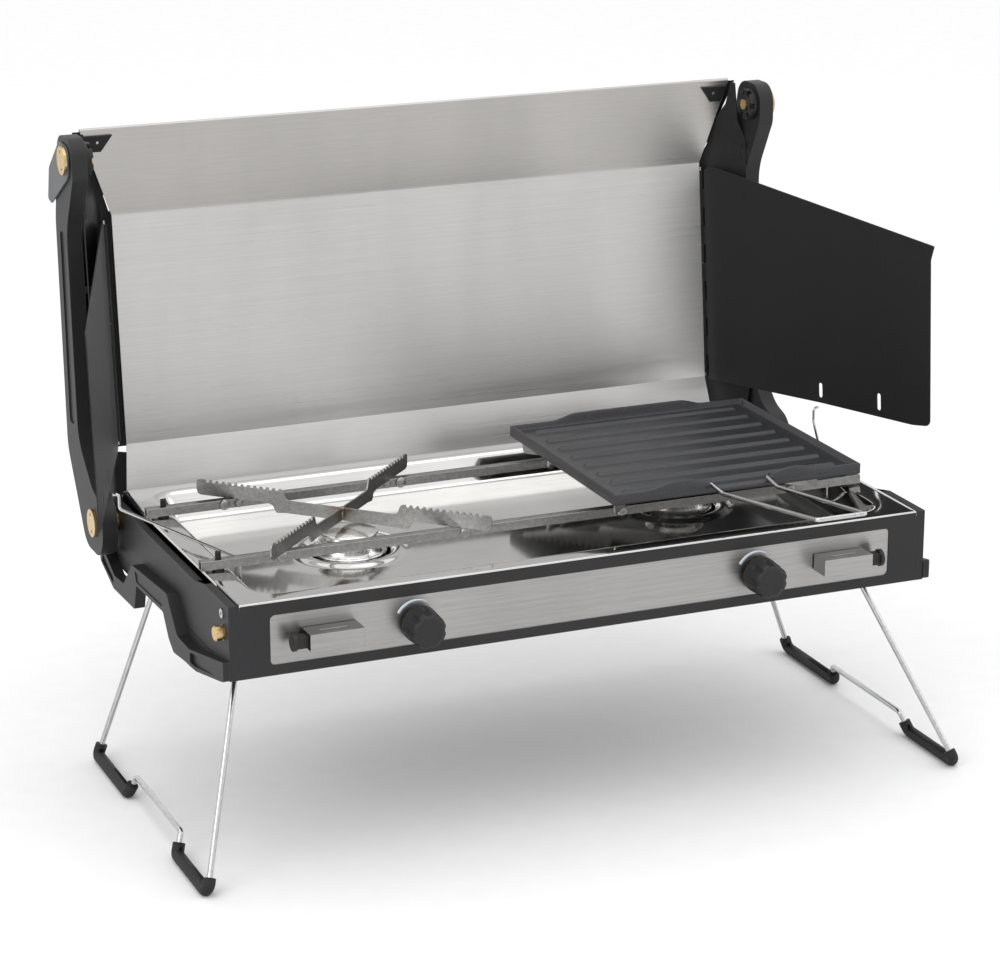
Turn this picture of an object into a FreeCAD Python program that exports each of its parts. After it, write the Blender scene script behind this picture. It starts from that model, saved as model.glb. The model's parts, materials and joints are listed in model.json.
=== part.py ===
import FreeCAD, Part
import Sketcher
import math
import os
import re
from FreeCAD import Placement, Rotation, Vector

# A folding two-burner camping stove: steel case on two wire legs, lid with side windscreens,
# pan support, griddle plate, gas train and controls. Millimetres, +Z up, X to the right,
# Y to the back. The origin is on the ground under the middle of the stove.

doc = FreeCAD.newDocument("camping_stove")
sheet = doc.addObject("Spreadsheet::Sheet", "Sizes")

DRIVING_SIZES = [
    ("case_half_width", 320.3, "case, centre to outer face of a side panel"),
    ("case_depth", 326.0, "case, front panel to rear panel"),
    ("rim_height", 64.7, "top of the drip tray's rim above the case bottom"),
    ("panel_sheet", 1.0, "steel sheet of the case panels"),
    ("tray_sheet", 0.8, "stainless sheet of the tray, lid and fascia"),
    ("side_drop", 6.2, "side panel's top edge below the tray rim"),
    ("leg_height", 176.6, "case bottom above the ground"),
    ("depth_centre", 141.91, "middle of the whole stove behind the front panel"),
    ("fascia_half_width", 285.1, "window in the front panel, half width"),
    ("fascia_low", 8.7, "window's lower edge"),
    ("fascia_high", 51.7, "window's upper edge"),
    ("burner_spread", 157.0, "burner axis from the middle"),
    ("burner_depth", 163.5, "burner axis behind the front panel"),
    ("well_floor", 40.0, "tray floor above the case bottom"),
    ("well_radius", 37.0, "hole in the tray around a burner"),
    ("knob_height", 28.0, "knob axis above the case bottom"),
    ("knob_radius", 16.0, "knob's outer radius"),
    ("knob_reach", 28.6, "knob's front face ahead of the front panel"),
    ("stem_radius", 3.0, "valve stem"),
    ("rail_side", 8.0, "square section of the pan support rails"),
    ("rail_length", 618.0, "length of a rail"),
    ("rail_front", 89.0, "front rail's axis"),
    ("rail_rear", 241.0, "rear rail's axis"),
    ("support_shift", -6.0, "play of the pan support along its rails"),
    ("cross_top", 88.0, "serrated edge of the pot crosses"),
    ("cross_reach", 140.0, "arm length of a pot cross"),
    ("cross_sheet", 1.6, "steel sheet of a pot cross"),
    ("griddle_half_width", 119.4, "griddle plate, half width"),
    ("griddle_half_depth", 113.2, "griddle plate, half depth"),
    ("griddle_thick", 10.0, "griddle plate's side wall"),
    ("leg_wire_radius", 2.5, "leg wire"),
    ("leg_hinge_x", 290.0, "leg hinge axis from the middle"),
    ("leg_hinge_drop", 7.0, "leg hinge axis below the case bottom"),
    ("foot_x", 350.5, "foot bar from the middle"),
    ("sleeve_radius", 5.4, "rubber sleeve on a foot"),
    ("sleeve_flat", 0.4, "depth of the worn flat under a sleeve"),
    ("lid_hinge_y", 315.0, "lid hinge axis behind the front panel"),
    ("lid_hinge_z", 42.0, "lid hinge axis above the case bottom"),
    ("lid_bend_y", 387.0, "lid's lower bend behind the front panel"),
    ("lid_bend_z", 88.8, "lid's lower bend above the case bottom"),
    ("lid_lean", 5.8, "open lid leans back, degrees"),
    ("band_angle", 18.5, "lid's upper and lower bands bend forward, degrees"),
    ("lid_main", 212.4, "height of the lid's main face"),
    ("band_top", 80.8, "width of the lid's upper band"),
    ("band_low", 78.0, "width of the lid's lower band"),
    ("lid_half_width", 291.6, "lid's main face, half width"),
    ("arm_inner", 327.0, "inner face of a lid arm from the middle"),
    ("arm_outer", 341.0, "outer face of a lid arm from the middle"),
    ("shaft_radius", 5.0, "shaft of a brass hinge disc"),
    ("disc_radius", 12.6, "brass hinge disc"),
    ("running_gap", 0.06, "radial clearance of a shaft in its hole"),
    ("screen_hinge_x", 297.0, "windscreen hinge axis from the middle"),
    ("screen_angle", 70.5, "open windscreen from the lid face, degrees"),
    ("screen_sheet", 1.0, "steel sheet of a windscreen"),
    ("brace_wire_radius", 1.3, "windscreen brace wire"),
    ("handle_y", 358.4, "carry handle's hinge axis behind the front panel"),
    ("handle_z", 360.2, "carry handle's hinge axis above the case bottom"),
]
for row, (alias, value, note) in enumerate(DRIVING_SIZES, start=1):
    sheet.set(f"A{row}", note)
    sheet.set(f"B{row}", str(value))
    sheet.setAlias(f"B{row}", alias)
doc.recompute()


def size(alias):
    """Value of one driving size."""
    return float(sheet.get(alias))


def bind(obj, prop, expression):
    """Bind a property to an expression written with the sheet's aliases."""
    names = {alias for alias, _, _ in DRIVING_SIZES}
    full = re.sub(r"[a-z_]+", lambda m: f"Sizes.{m[0]}" if m[0] in names else m[0], str(expression))
    obj.setExpression(prop, full)


HALF = size("case_half_width")
DEPTH = size("case_depth")
RIM = size("rim_height")
SHEET = size("panel_sheet")
THIN = size("tray_sheet")
WELL = size("well_floor")
GAP = size("running_gap")
BURNER_X = size("burner_spread")
BURNER_Y = size("burner_depth")
KNOB_Z = size("knob_height")
STAND = Placement(Vector(0, -size("depth_centre"), size("leg_height")), Rotation())
SIDES = (("left", -1), ("right", 1))

nodes = []


def node(obj, label):
    """Name a finished piece, set it in the stove's frame and list it for export."""
    obj.Label = label
    obj.Placement = STAND.multiply(obj.Placement)
    nodes.append(obj)
    return obj


# Frames: where a sketch plane lies in the case. Local X, Y and Z are the sketch's.


def frame(origin, x_way, y_way):
    x = Vector(*x_way).normalize()
    y = Vector(*y_way).normalize()
    z = x.cross(y)
    o = Vector(*origin)
    return Placement(FreeCAD.Matrix(x.x, y.x, z.x, o.x, x.y, y.y, z.y, o.y, x.z, y.z, z.z, o.z, 0, 0, 0, 1))


def side_view(x):
    """Sketch X is the stove's Y, sketch Y is its Z, and pads grow towards +X."""
    return frame((x, 0, 0), (0, 1, 0), (0, 0, 1))


def front_view(y):
    """Sketch X is the stove's X, sketch Y is its Z, and pads grow towards the front."""
    return frame((0, y, 0), (1, 0, 0), (0, 0, 1))


def top_view(z):
    return frame((0, 0, z), (1, 0, 0), (0, 1, 0))


# Outlines


def rounded(points):
    """Lines and arcs of a closed outline. A point is (x, y) or (x, y, corner radius)."""
    corners = [(Vector(p[0], p[1], 0), p[2] if len(p) > 2 else 0) for p in points]
    starts, ends, arcs = [], [], []
    for i, (at, radius) in enumerate(corners):
        back = (corners[i - 1][0] - at).normalize()
        ahead = (corners[(i + 1) % len(corners)][0] - at).normalize()
        if radius <= 0:
            starts.append(at)
            ends.append(at)
            continue
        half = back.getAngle(ahead) / 2
        reach = radius / math.tan(half)
        enter = at + back * reach
        leave = at + ahead * reach
        middle_way = (back + ahead).normalize()
        middle = at + middle_way * (radius / math.sin(half) - radius)
        arcs.append(Part.Arc(enter, middle, leave))
        starts.append(enter)
        ends.append(leave)
    lines = []
    for i in range(len(corners)):
        a = ends[i]
        b = starts[(i + 1) % len(corners)]
        if a.distanceToPoint(b) > 1e-6:
            lines.append(Part.LineSegment(a, b))
    return lines + arcs


def rectangle(x0, y0, x1, y1, radius=0):
    return [(x0, y0, radius), (x1, y0, radius), (x1, y1, radius), (x0, y1, radius)]


def origin_plane(body, role):
    return next(f for f in body.Origin.OriginFeatures if f.Role == role)


def add_sketch(body, name, outlines=(), circles=(), height=0):
    """Sketch on the body's XY plane. A circle is (x, y, radius or expression)."""
    sketch = body.newObject("Sketcher::SketchObject", name)
    sketch.AttachmentSupport = [(origin_plane(body, "XY_Plane"), "")]
    sketch.MapMode = "FlatFace"
    sketch.AttachmentOffset = Placement(Vector(0, 0, height), Rotation())
    for outline in outlines:
        sketch.addGeometry(rounded(outline), False)
    for x, y, radius in circles:
        bound = isinstance(radius, str)
        start = size(radius.split()[0]) if bound else radius
        index = sketch.addGeometry(Part.Circle(Vector(x, y, 0), Vector(0, 0, 1), start), False)
        if bound:
            constraint = sketch.addConstraint(Sketcher.Constraint("Radius", index, start))
            bind(sketch, f"Constraints[{constraint}]", radius)
    return sketch


def add_pad(body, name, length, outlines=(), circles=(), height=0, midplane=False, reverse=False):
    sketch = add_sketch(body, f"{name}_sketch", outlines, circles, height)
    pad = body.newObject("PartDesign::Pad", f"{name}_pad")
    pad.Profile = sketch
    pad.Midplane = midplane
    pad.Reversed = reverse
    bind(pad, "Length", length)
    body.Tip = pad
    return pad


def add_pocket(body, name, length, outlines=(), circles=(), height=0, midplane=False, reverse=False):
    sketch = add_sketch(body, f"{name}_sketch", outlines, circles, height)
    pocket = body.newObject("PartDesign::Pocket", f"{name}_pocket")
    pocket.Profile = sketch
    pocket.Midplane = midplane
    pocket.Reversed = reverse
    bind(pocket, "Length", length)
    body.Tip = pocket
    return pocket


def plate(name, at, thickness, outlines=(), circles=(), midplane=False, reverse=False):
    """A flat sheet piece padded from one sketch."""
    body = doc.addObject("PartDesign::Body", name)
    body.Placement = at
    add_pad(body, name, thickness, outlines, circles, midplane=midplane, reverse=reverse)
    return body


def block(name, x0, y0, z0, x1, y1, z1):
    box = doc.addObject("Part::Box", name)
    box.Length = x1 - x0
    box.Width = y1 - y0
    box.Height = z1 - z0
    box.Placement = Placement(Vector(x0, y0, z0), Rotation())
    return box


def rod(name, radius, start, end):
    """A cylinder between two points; its radius is an expression or a number."""
    a = Vector(*start)
    b = Vector(*end)
    cylinder = doc.addObject("Part::Cylinder", name)
    bind(cylinder, "Radius", radius)
    cylinder.Height = (b - a).Length
    cylinder.Placement = Placement(a, Rotation(Vector(0, 0, 1), b - a))
    return cylinder


def fuse(name, pieces):
    fusion = doc.addObject("Part::MultiFuse", name)
    fusion.Shapes = pieces
    return fusion


def cut(name, base, tools):
    tool = tools[0] if len(tools) == 1 else fuse(f"{name}_tools", tools)
    result = doc.addObject("Part::Cut", name)
    result.Base = base
    result.Tool = tool
    return result


def group(name, pieces):
    """Separate solids kept in one piece, such as a set of fasteners."""
    compound = doc.addObject("Part::Compound", name)
    compound.Links = pieces
    return compound


def turned(name, at, profile):
    """A turned piece: a closed profile of (radius, height) points about the sketch's Y axis."""
    body = doc.addObject("PartDesign::Body", name)
    body.Placement = at
    sketch = add_sketch(body, f"{name}_profile", [profile])
    revolution = body.newObject("PartDesign::Revolution", f"{name}_turn")
    revolution.Profile = sketch
    revolution.ReferenceAxis = (sketch, ["V_Axis"])
    revolution.Angle = 360
    body.Tip = revolution
    return body


def bent_path(points, bend):
    """Straight runs joined by tangent arcs."""
    spots = [Vector(*p) for p in points]
    edges = []
    last = spots[0]
    for i in range(1, len(spots) - 1):
        back = (spots[i - 1] - spots[i]).normalize()
        ahead = (spots[i + 1] - spots[i]).normalize()
        half = back.getAngle(ahead) / 2
        reach = bend / math.tan(half)
        enter = spots[i] + back * reach
        leave = spots[i] + ahead * reach
        middle = spots[i] + (back + ahead).normalize() * (bend / math.sin(half) - bend)
        if last.distanceToPoint(enter) > 1e-6:
            edges.append(Part.LineSegment(last, enter).toShape())
        edges.append(Part.Arc(enter, middle, leave).toShape())
        last = leave
    edges.append(Part.LineSegment(last, spots[-1]).toShape())
    return Part.Wire(edges)


def wire_solid(points, bend, radius):
    """Round wire bent along a path."""
    path = bent_path(points, bend)
    way = Vector(*points[1]) - Vector(*points[0])
    ring = Part.Wire([Part.makeCircle(radius, Vector(*points[0]), way)])
    return path.makePipeShell([ring], True, False)


def formed(name, shape):
    """A piece whose shape is worked out above: bent wire and pressed sheet."""
    feature = doc.addObject("Part::Feature", name)
    feature.Shape = shape
    return feature


# Case panels

PIVOT_Y = size("lid_hinge_y")
PIVOT_Z = size("lid_hinge_z")
SHAFT = size("shaft_radius")
INLET_Y, INLET_Z, INLET_RADIUS = 14.0, 38.0, 6.4
SCREW_Y, SCREW_Z = 14.0, 54.5
SEAM_X = 313.0
PANEL_TOP = RIM - THIN
SIDE_TOP = RIM - size("side_drop")
STEP_FRONT, STEP_BACK = 61.0, 87.0

vent_rows = [(-BURNER_X, 110), (BURNER_X, 110)]
vents = []
for vent_x, vent_y in vent_rows:
    for k in range(6):
        y = vent_y + 20 * k
        vents.append(rectangle(vent_x - 30, y, vent_x + 30, y + 5, 2.4))
base_outline = rectangle(-HALF + 1.1, 1.2, HALF - 1.1, DEPTH - 1.2, 1)
base_pan = plate("base_pan", top_view(0), "panel_sheet", [base_outline] + vents)
node(base_pan, "base_pan")

window = rectangle(-size("fascia_half_width"), size("fascia_low"), size("fascia_half_width"),
                   size("fascia_high"), 4.5)
front_sheet = plate("front_sheet", front_view(SHEET), "panel_sheet",
                    [rectangle(-SEAM_X + 0.1, 0, SEAM_X - 0.1, PANEL_TOP), window])
front_flange = block("front_flange", -SEAM_X + 6, SHEET, PANEL_TOP - SHEET, SEAM_X - 6, 10, PANEL_TOP)
front_foot = block("front_foot", -SEAM_X + 6, SHEET, SHEET + 0.1, SEAM_X - 6, 9, 2 * SHEET)
node(fuse("front_panel", [front_sheet, front_flange, front_foot]), "front_panel")

BRACKET_LOW, BRACKET_HIGH = 23.4, 38.0
BRACKET_IN, BRACKET_OUT, BRACKET_REACH = 211.0, 258.0, 20.5
fascia_holes = [(side * BURNER_X, KNOB_Z, 5.0) for _, side in SIDES]
fascia = plate("fascia_plate", front_view(SHEET + THIN + 0.05), "tray_sheet",
               [rectangle(-SEAM_X + 20, 4.5, SEAM_X - 20, 56)], fascia_holes)
node(fascia, "fascia_plate")

rear_sheet = block("rear_sheet", -SEAM_X, DEPTH - SHEET, SHEET + 0.1, SEAM_X, DEPTH, PANEL_TOP - 6)
rear_foot = block("rear_foot", -SEAM_X + 6, DEPTH - 9, SHEET + 0.1, SEAM_X - 6, DEPTH - SHEET, 2 * SHEET)
node(fuse("rear_panel", [rear_sheet, rear_foot]), "rear_panel")

for name, side in SIDES:
    inner = side * (HALF - SHEET)
    outline = [(0, 0), (DEPTH, 0), (DEPTH, SIDE_TOP), (STEP_BACK, SIDE_TOP),
               (STEP_FRONT, PANEL_TOP), (0, PANEL_TOP)]
    holes = [(PIVOT_Y, PIVOT_Z, "shaft_radius"), (SCREW_Y, SCREW_Z, 1.6), (20, 12, 1.6), (302, 12, 1.6)]
    if name == "left":
        holes.append((INLET_Y, INLET_Z, 4.5))
    sheet_face = plate(f"side_sheet_{name}", side_view(inner), "panel_sheet", [outline], holes,
                       reverse=side < 0)
    low, high = sorted((side * SEAM_X, inner))
    front_return = block(f"side_front_{name}", low, 0, 0, high, SHEET, PANEL_TOP)
    rear_return = block(f"side_rear_{name}", low, DEPTH - SHEET, 0, high, DEPTH, SIDE_TOP)
    long_flange = block(f"side_flange_{name}", low + (0.6 if side > 0 else 0), STEP_BACK,
                        SIDE_TOP - SHEET, high - (0.6 if side < 0 else 0), DEPTH - SHEET, SIDE_TOP)
    short_flange = block(f"side_step_{name}", low, SHEET, PANEL_TOP - SHEET, high, STEP_FRONT, PANEL_TOP)
    panel = fuse(f"side_panel_{name}",
                 [sheet_face, front_return, rear_return, long_flange, short_flange])
    node(panel, f"side_panel_{name}")

# Drip tray: a pressed stainless sheet with a sunk floor and a dished collar round each burner

TRAY_X = 311.4
BRACE_X, BRACE_Y = 277.0, 99.0
BRACE_EYE = (53.0, 57.0)
SUNK_X, SUNK_FRONT, SUNK_BACK, SUNK_SLOPE = 289.0, 18.0, 308.0, 14.0
COLLAR_RADIUS, COLLAR_RISE = 52.0, 3.0


def rounded_wire(x0, y0, x1, y1, radius, z):
    wire = Part.Wire(Part.__sortEdges__([g.toShape() for g in rounded(rectangle(x0, y0, x1, y1, radius))]))
    wire.translate(Vector(0, 0, z))
    return wire


def sunk_solid(grow, low, high):
    """The tray's hollow between two heights, grown sideways by the sheet thickness."""
    share = SUNK_SLOPE / (RIM - WELL)
    drop_low = (RIM - low) * share
    drop_high = (RIM - high) * share
    rings = []
    for z, drop in ((low, drop_low), (high, drop_high)):
        rings.append(rounded_wire(-SUNK_X + drop - grow, SUNK_FRONT + drop - grow,
                                  SUNK_X - drop + grow, SUNK_BACK - drop + grow, 24 + grow, z))
    return Part.makeLoft(rings, True, True)


rim_sheet = Part.makeBox(2 * TRAY_X, DEPTH + 0.8, THIN, Vector(-TRAY_X, -0.8, RIM - THIN))
lip_front = Part.makeBox(2 * SEAM_X - 6, 0.7, 3, Vector(-SEAM_X + 3, -0.8, RIM - 3))
lip_rear = Part.makeBox(2 * SEAM_X - 14, 0.8, 9, Vector(-SEAM_X + 7, DEPTH - SHEET - 0.9, RIM - 9))
pressed = rim_sheet.fuse([lip_front, lip_rear, sunk_solid(THIN, WELL - THIN, RIM - 0.1)])
pressed = pressed.cut(sunk_solid(0, WELL, RIM + 0.5))
for _, side in SIDES:
    centre = Vector(side * BURNER_X, BURNER_Y, 0)
    hole = Part.makeCylinder(COLLAR_RADIUS - 1, 20, centre + Vector(0, 0, WELL - 10))
    pressed = pressed.cut(hole)
    radii = (COLLAR_RADIUS, 46.0, 41.0, size("well_radius"))
    heights = (0.0, COLLAR_RISE, COLLAR_RISE, -1.5)
    upper = [Vector(r, 0, WELL + h) for r, h in zip(radii, heights)]
    lower = [Vector(r, 0, WELL + h - THIN) for r, h in zip(radii, heights)]
    profile = Part.Face(Part.makePolygon(upper + lower[::-1] + upper[:1]))
    collar = profile.revolve(Vector(0, 0, 0), Vector(0, 0, 1), 360)
    collar.translate(Vector(centre.x, centre.y, 0))
    pressed = pressed.fuse(collar)
    brace_at = Vector(side * BRACE_X, BRACE_Y, 0)
    eye_low, eye_high = BRACE_EYE
    tab = Part.makeBox(6.4, 6, eye_high - eye_low, brace_at + Vector(0 if side > 0 else -6.4, -3, eye_low))
    eye = Part.makeCylinder(3.4, eye_high - eye_low, brace_at + Vector(0, 0, eye_low))
    bore = Part.makeCylinder(size("brace_wire_radius") + GAP, 20, brace_at + Vector(0, 0, eye_low - 5))
    pressed = pressed.fuse([tab, eye]).cut(bore)
node(formed("drip_tray", pressed.removeSplitter()), "drip_tray")

# Bumpers with a carry grip, one along each lower side edge

BUMPER_INNER = HALF + 0.1
BUMPER_REACH = 9.6
for name, side in SIDES:
    outline = [(-1, 17.8, 1.5), (-1, 0.8, 3), (61.8, -11.2, 30), (88.9, -11.9, 12), (121.4, -15.1, 3),
               (134.5, -6.9, 4), (149, 12.1, 3), (226.7, 10, 3), (234.5, -14.1, 2), (298.5, -15.7, 8),
               (341, -0.3, 4), (328.5, 13.6, 3), (294.2, -2.6, 6), (265.7, -0.7, 3), (238.3, 25.4, 4),
               (137.4, 32.3, 4), (110.2, 3.6, 5), (78.4, 2.8, 14)]
    body = plate(f"bumper_bar_{name}", side_view(side * BUMPER_INNER), BUMPER_REACH, [outline],
                 reverse=side < 0)
    front_recess = [(6, 12.6, 1.5), (8, 1.6, 1.5), (64, -8, 2), (76, -8, 2), (76, 0.6, 2)]
    add_pocket(body, f"recess_{name}", 3, [front_recess],
               height=side * BUMPER_REACH, reverse=side < 0)
    grip_panel = [(152, 15.6, 1.5), (149, 28, 1.5), (230, 22.4, 1.5), (226, 13.2, 1.5)]
    add_pocket(body, f"panel_{name}", 1.0, [grip_panel],
               height=side * BUMPER_REACH, reverse=side < 0)
    add_pocket(body, f"rear_recess_{name}", 2, [[(296, -12, 2), (334, -0.5, 2), (329, 7, 2), (300, -5, 2)]],
               height=side * BUMPER_REACH, reverse=side < 0)
    add_pocket(body, f"arm_room_{name}", BUMPER_REACH - 6, circles=[(PIVOT_Y, PIVOT_Z, 33.0)],
               height=side * BUMPER_REACH, reverse=side < 0)
    taper = plate(f"bumper_taper_{name}", frame((0, 0, -20), (1, 0, 0), (0, 1, 0)), 60,
                  [[(side * 326.2, -3), (side * 333, -3), (side * 333, 80), (side * 330.1, 78)]])
    node(cut(f"bumper_shape_{name}", body, [taper]), f"bumper_{name}")

# Fasteners of the case


def pan_screw(name, radius, tip, way, length=6):
    """Countersunk-looking pan head with a short thread, head face at the tip point."""
    t = Vector(*tip)
    w = Vector(*way)
    head_end = t - w * 1.6
    head = rod(f"{name}_head", radius, tuple(head_end), tuple(t))
    thread = rod(f"{name}_thread", 1.5, tuple(head_end - w * length), tuple(head_end))
    socket = rod(f"{name}_socket", radius * 0.4, tuple(t - w), tuple(t + w))
    return cut(name, fuse(f"{name}_blank", [head, thread]), [socket])


screws = []
for name, side in SIDES:
    tip = (side * (HALF + 1.6), SCREW_Y, SCREW_Z)
    screws.append(pan_screw(f"side_screw_{name}", 4.0, tip, (side, 0, 0)))
node(group("case_screws", screws), "case_screws")

# Gas train: inlet, manifold, valves, jets, mixing tubes and burners

inlet_at = frame((-HALF - 8.0, INLET_Y, INLET_Z), (0, 1, 0), (1, 0, 0))
inlet_profile = [(0, 0), (INLET_RADIUS - 1, 0), (INLET_RADIUS, 1), (INLET_RADIUS, 6), (INLET_RADIUS - 1.6, 6.2),
                 (INLET_RADIUS - 1.6, 6.8), (INLET_RADIUS, 7), (INLET_RADIUS, 7.9), (4.4, 7.9),
                 (4.4, 16), (0, 16)]
node(turned("gas_inlet", inlet_at, inlet_profile), "gas_inlet")
MANIFOLD_X = -HALF + 8.0
manifold = rod("gas_manifold", 4.0, (MANIFOLD_X, INLET_Y, INLET_Z), (BURNER_X + 16, INLET_Y, INLET_Z))
node(manifold, "gas_manifold")

VALVE_BACK = 26.0
valves = []
jets = []
tubes = []
probes = []
for name, side in SIDES:
    x = side * BURNER_X
    valve_block = block(f"valve_block_{name}", x - 10, 4.2, KNOB_Z - 9, x + 10, VALVE_BACK, INLET_Z + 8)
    manifold_hole = rod(f"valve_bore_{name}", 4.0, (x - 12, INLET_Y, INLET_Z), (x + 12, INLET_Y, INLET_Z))
    stem_hole = rod(f"valve_seat_{name}", "stem_radius + running_gap", (x, 0, KNOB_Z), (x, 10, KNOB_Z))
    valves.append(cut(f"gas_valve_{name}", valve_block, [manifold_hole, stem_hole]))
    jets.append(rod(f"gas_jet_{name}", 3.0, (x, VALVE_BACK, KNOB_Z - 4), (x, VALVE_BACK + 8.9, KNOB_Z - 4)))
    tube = rod(f"mixing_bar_{name}", 8.0, (x, VALVE_BACK + 9, KNOB_Z - 4), (x, BURNER_Y - 13, KNOB_Z - 4))
    tube_bore = rod(f"mixing_bore_{name}", 6.6, (x, VALVE_BACK, KNOB_Z - 4), (x, BURNER_Y, KNOB_Z - 4))
    tubes.append(cut(f"mixing_tube_{name}", tube, [tube_bore]))
    burner_at = frame((x, BURNER_Y, 0), (1, 0, 0), (0, 0, 1))
    cup_profile = [(0, 12), (15, 12), (18, 30), (33, 39), (33, 41), (25, 56.5), (22, 56.5), (22, 45),
                   (12, 40), (0, 40)]
    cup = turned(f"burner_cup_{name}", burner_at, cup_profile)
    mouth = rod(f"burner_mouth_{name}", 8.0, (x, BURNER_Y - 30, KNOB_Z - 4), (x, BURNER_Y - 12.9, KNOB_Z - 4))
    passage = rod(f"burner_passage_{name}", 6.6, (x, BURNER_Y - 20, KNOB_Z - 4), (x, BURNER_Y - 5, KNOB_Z - 4))
    throat = rod(f"burner_throat_{name}", 9.0, (x, BURNER_Y, 20), (x, BURNER_Y, 60))
    node(cut(f"burner_{name}", cup, [mouth, passage, throat]), f"burner_{name}")
    cap_profile = [(0, 56.7), (26, 56.7), (26.6, 57.6), (25, 59.4), (14, 62), (0, 63)]
    node(turned(f"burner_cap_{name}", burner_at, cap_profile), f"burner_cap_{name}")
    probe_x = x - side * 35
    probe_foot = rod(f"probe_foot_{name}", 2.4, (probe_x, BURNER_Y, 14), (probe_x, BURNER_Y, 34))
    probe_tip = rod(f"probe_tip_{name}", 0.9, (probe_x, BURNER_Y, 33), (probe_x, BURNER_Y, 46))
    probes.append(fuse(f"igniter_probe_{name}", [probe_foot, probe_tip]))

node(group("gas_valves", valves), "gas_valves")
node(group("gas_jets", jets), "gas_jets")
node(group("mixing_tubes", tubes), "mixing_tubes")
node(group("igniter_probes", probes), "igniter_probes")

# Control side: igniter brackets and barrels on the fascia

BARREL_Y, BARREL_Z = -11.5, (BRACKET_LOW + BRACKET_HIGH) / 2
barrels = []
for name, side in SIDES:
    low, high = sorted((side * BRACKET_IN, side * BRACKET_OUT))
    shell = block(f"bracket_shell_{name}", low, -BRACKET_REACH, BRACKET_LOW, high, -0.05, BRACKET_HIGH)
    inner_low = low + (1.0 if side > 0 else -3.0)
    inner_high = high + (3.0 if side > 0 else -1.0)
    hollow = block(f"bracket_hollow_{name}", inner_low, -BRACKET_REACH + 1, BRACKET_LOW + 1,
                   inner_high, 3, BRACKET_HIGH - 1)
    slot_mid = (low + high) / 2
    slot = block(f"bracket_slot_{name}", slot_mid - 12, -11.6, BRACKET_HIGH - 3, slot_mid + 12, -10.4,
                 BRACKET_HIGH + 3)
    node(cut(f"igniter_bracket_{name}", shell, [hollow, slot]), f"igniter_bracket_{name}")
    barrel = rod(f"barrel_{name}", 5.6, (side * (BRACKET_IN + 3), BARREL_Y, BARREL_Z),
                 (side * (BRACKET_OUT - 12), BARREL_Y, BARREL_Z))
    barrel_bore = rod(f"barrel_bore_{name}", "stem_radius + running_gap",
                      (side * (BRACKET_IN + 10), BARREL_Y, BARREL_Z), (side * BRACKET_OUT, BARREL_Y, BARREL_Z))
    barrels.append(cut(f"igniter_{name}", barrel, [barrel_bore]))
    stem = rod(f"push_stem_{name}", "stem_radius", (side * (BRACKET_OUT - 26), BARREL_Y, BARREL_Z),
               (side * (BRACKET_OUT - 2), BARREL_Y, BARREL_Z))
    grip_low, grip_high = sorted((side * (BRACKET_OUT - 2), side * (BRACKET_OUT + 10)))
    neck = block(f"push_neck_{name}", grip_low, BARREL_Y - 4.5, BARREL_Z - 5, grip_high, BARREL_Y + 4.5,
                 BARREL_Z + 5)
    head = rod(f"push_head_{name}", 7.5, (side * (BRACKET_OUT + 10), BARREL_Y, BARREL_Z),
               (side * (BRACKET_OUT + 13), BARREL_Y, BARREL_Z))
    node(fuse(f"igniter_button_{name}", [stem, neck, head]), f"igniter_button_{name}")

node(group("igniter_barrels", barrels), "igniter_barrels")

# Knobs, fluted, each on its valve stem

FLUTES = 8
for name, side in SIDES:
    x = side * BURNER_X
    body = doc.addObject("PartDesign::Body", f"knob_{name}")
    body.Placement = frame((x, -2.2, KNOB_Z), (1, 0, 0), (0, 0, 1))
    knob_pad = add_pad(body, f"knob_{name}", "knob_reach - 2.2", circles=[(0, 0, "knob_radius")])
    doc.recompute()
    chamfer = body.newObject("PartDesign::Chamfer", f"knob_chamfer_{name}")
    chamfer.Base = (knob_pad, ["Edge3"])
    chamfer.Size = 2.2
    body.Tip = chamfer
    flute = add_pocket(body, f"flute_{name}", "knob_reach - 8", circles=[(size("knob_radius") + 2.6, 0, 4.6)],
                       height=6, reverse=True)
    pattern = body.newObject("PartDesign::PolarPattern", f"flutes_{name}")
    pattern.Originals = [flute]
    pattern.Axis = (flute.Profile[0], ["N_Axis"])
    pattern.Angle = 360
    pattern.Occurrences = FLUTES
    body.Tip = pattern
    add_pocket(body, f"knob_bore_{name}", 18, circles=[(0, 0, "stem_radius")], reverse=True)
    node(body, f"knob_{name}")
    node(rod(f"valve_stem_{name}", "stem_radius", (x, -20.2, KNOB_Z), (x, 9.8, KNOB_Z)), f"valve_stem_{name}")

# Legs: one bent wire each side, with rubber sleeves on the two feet

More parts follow.
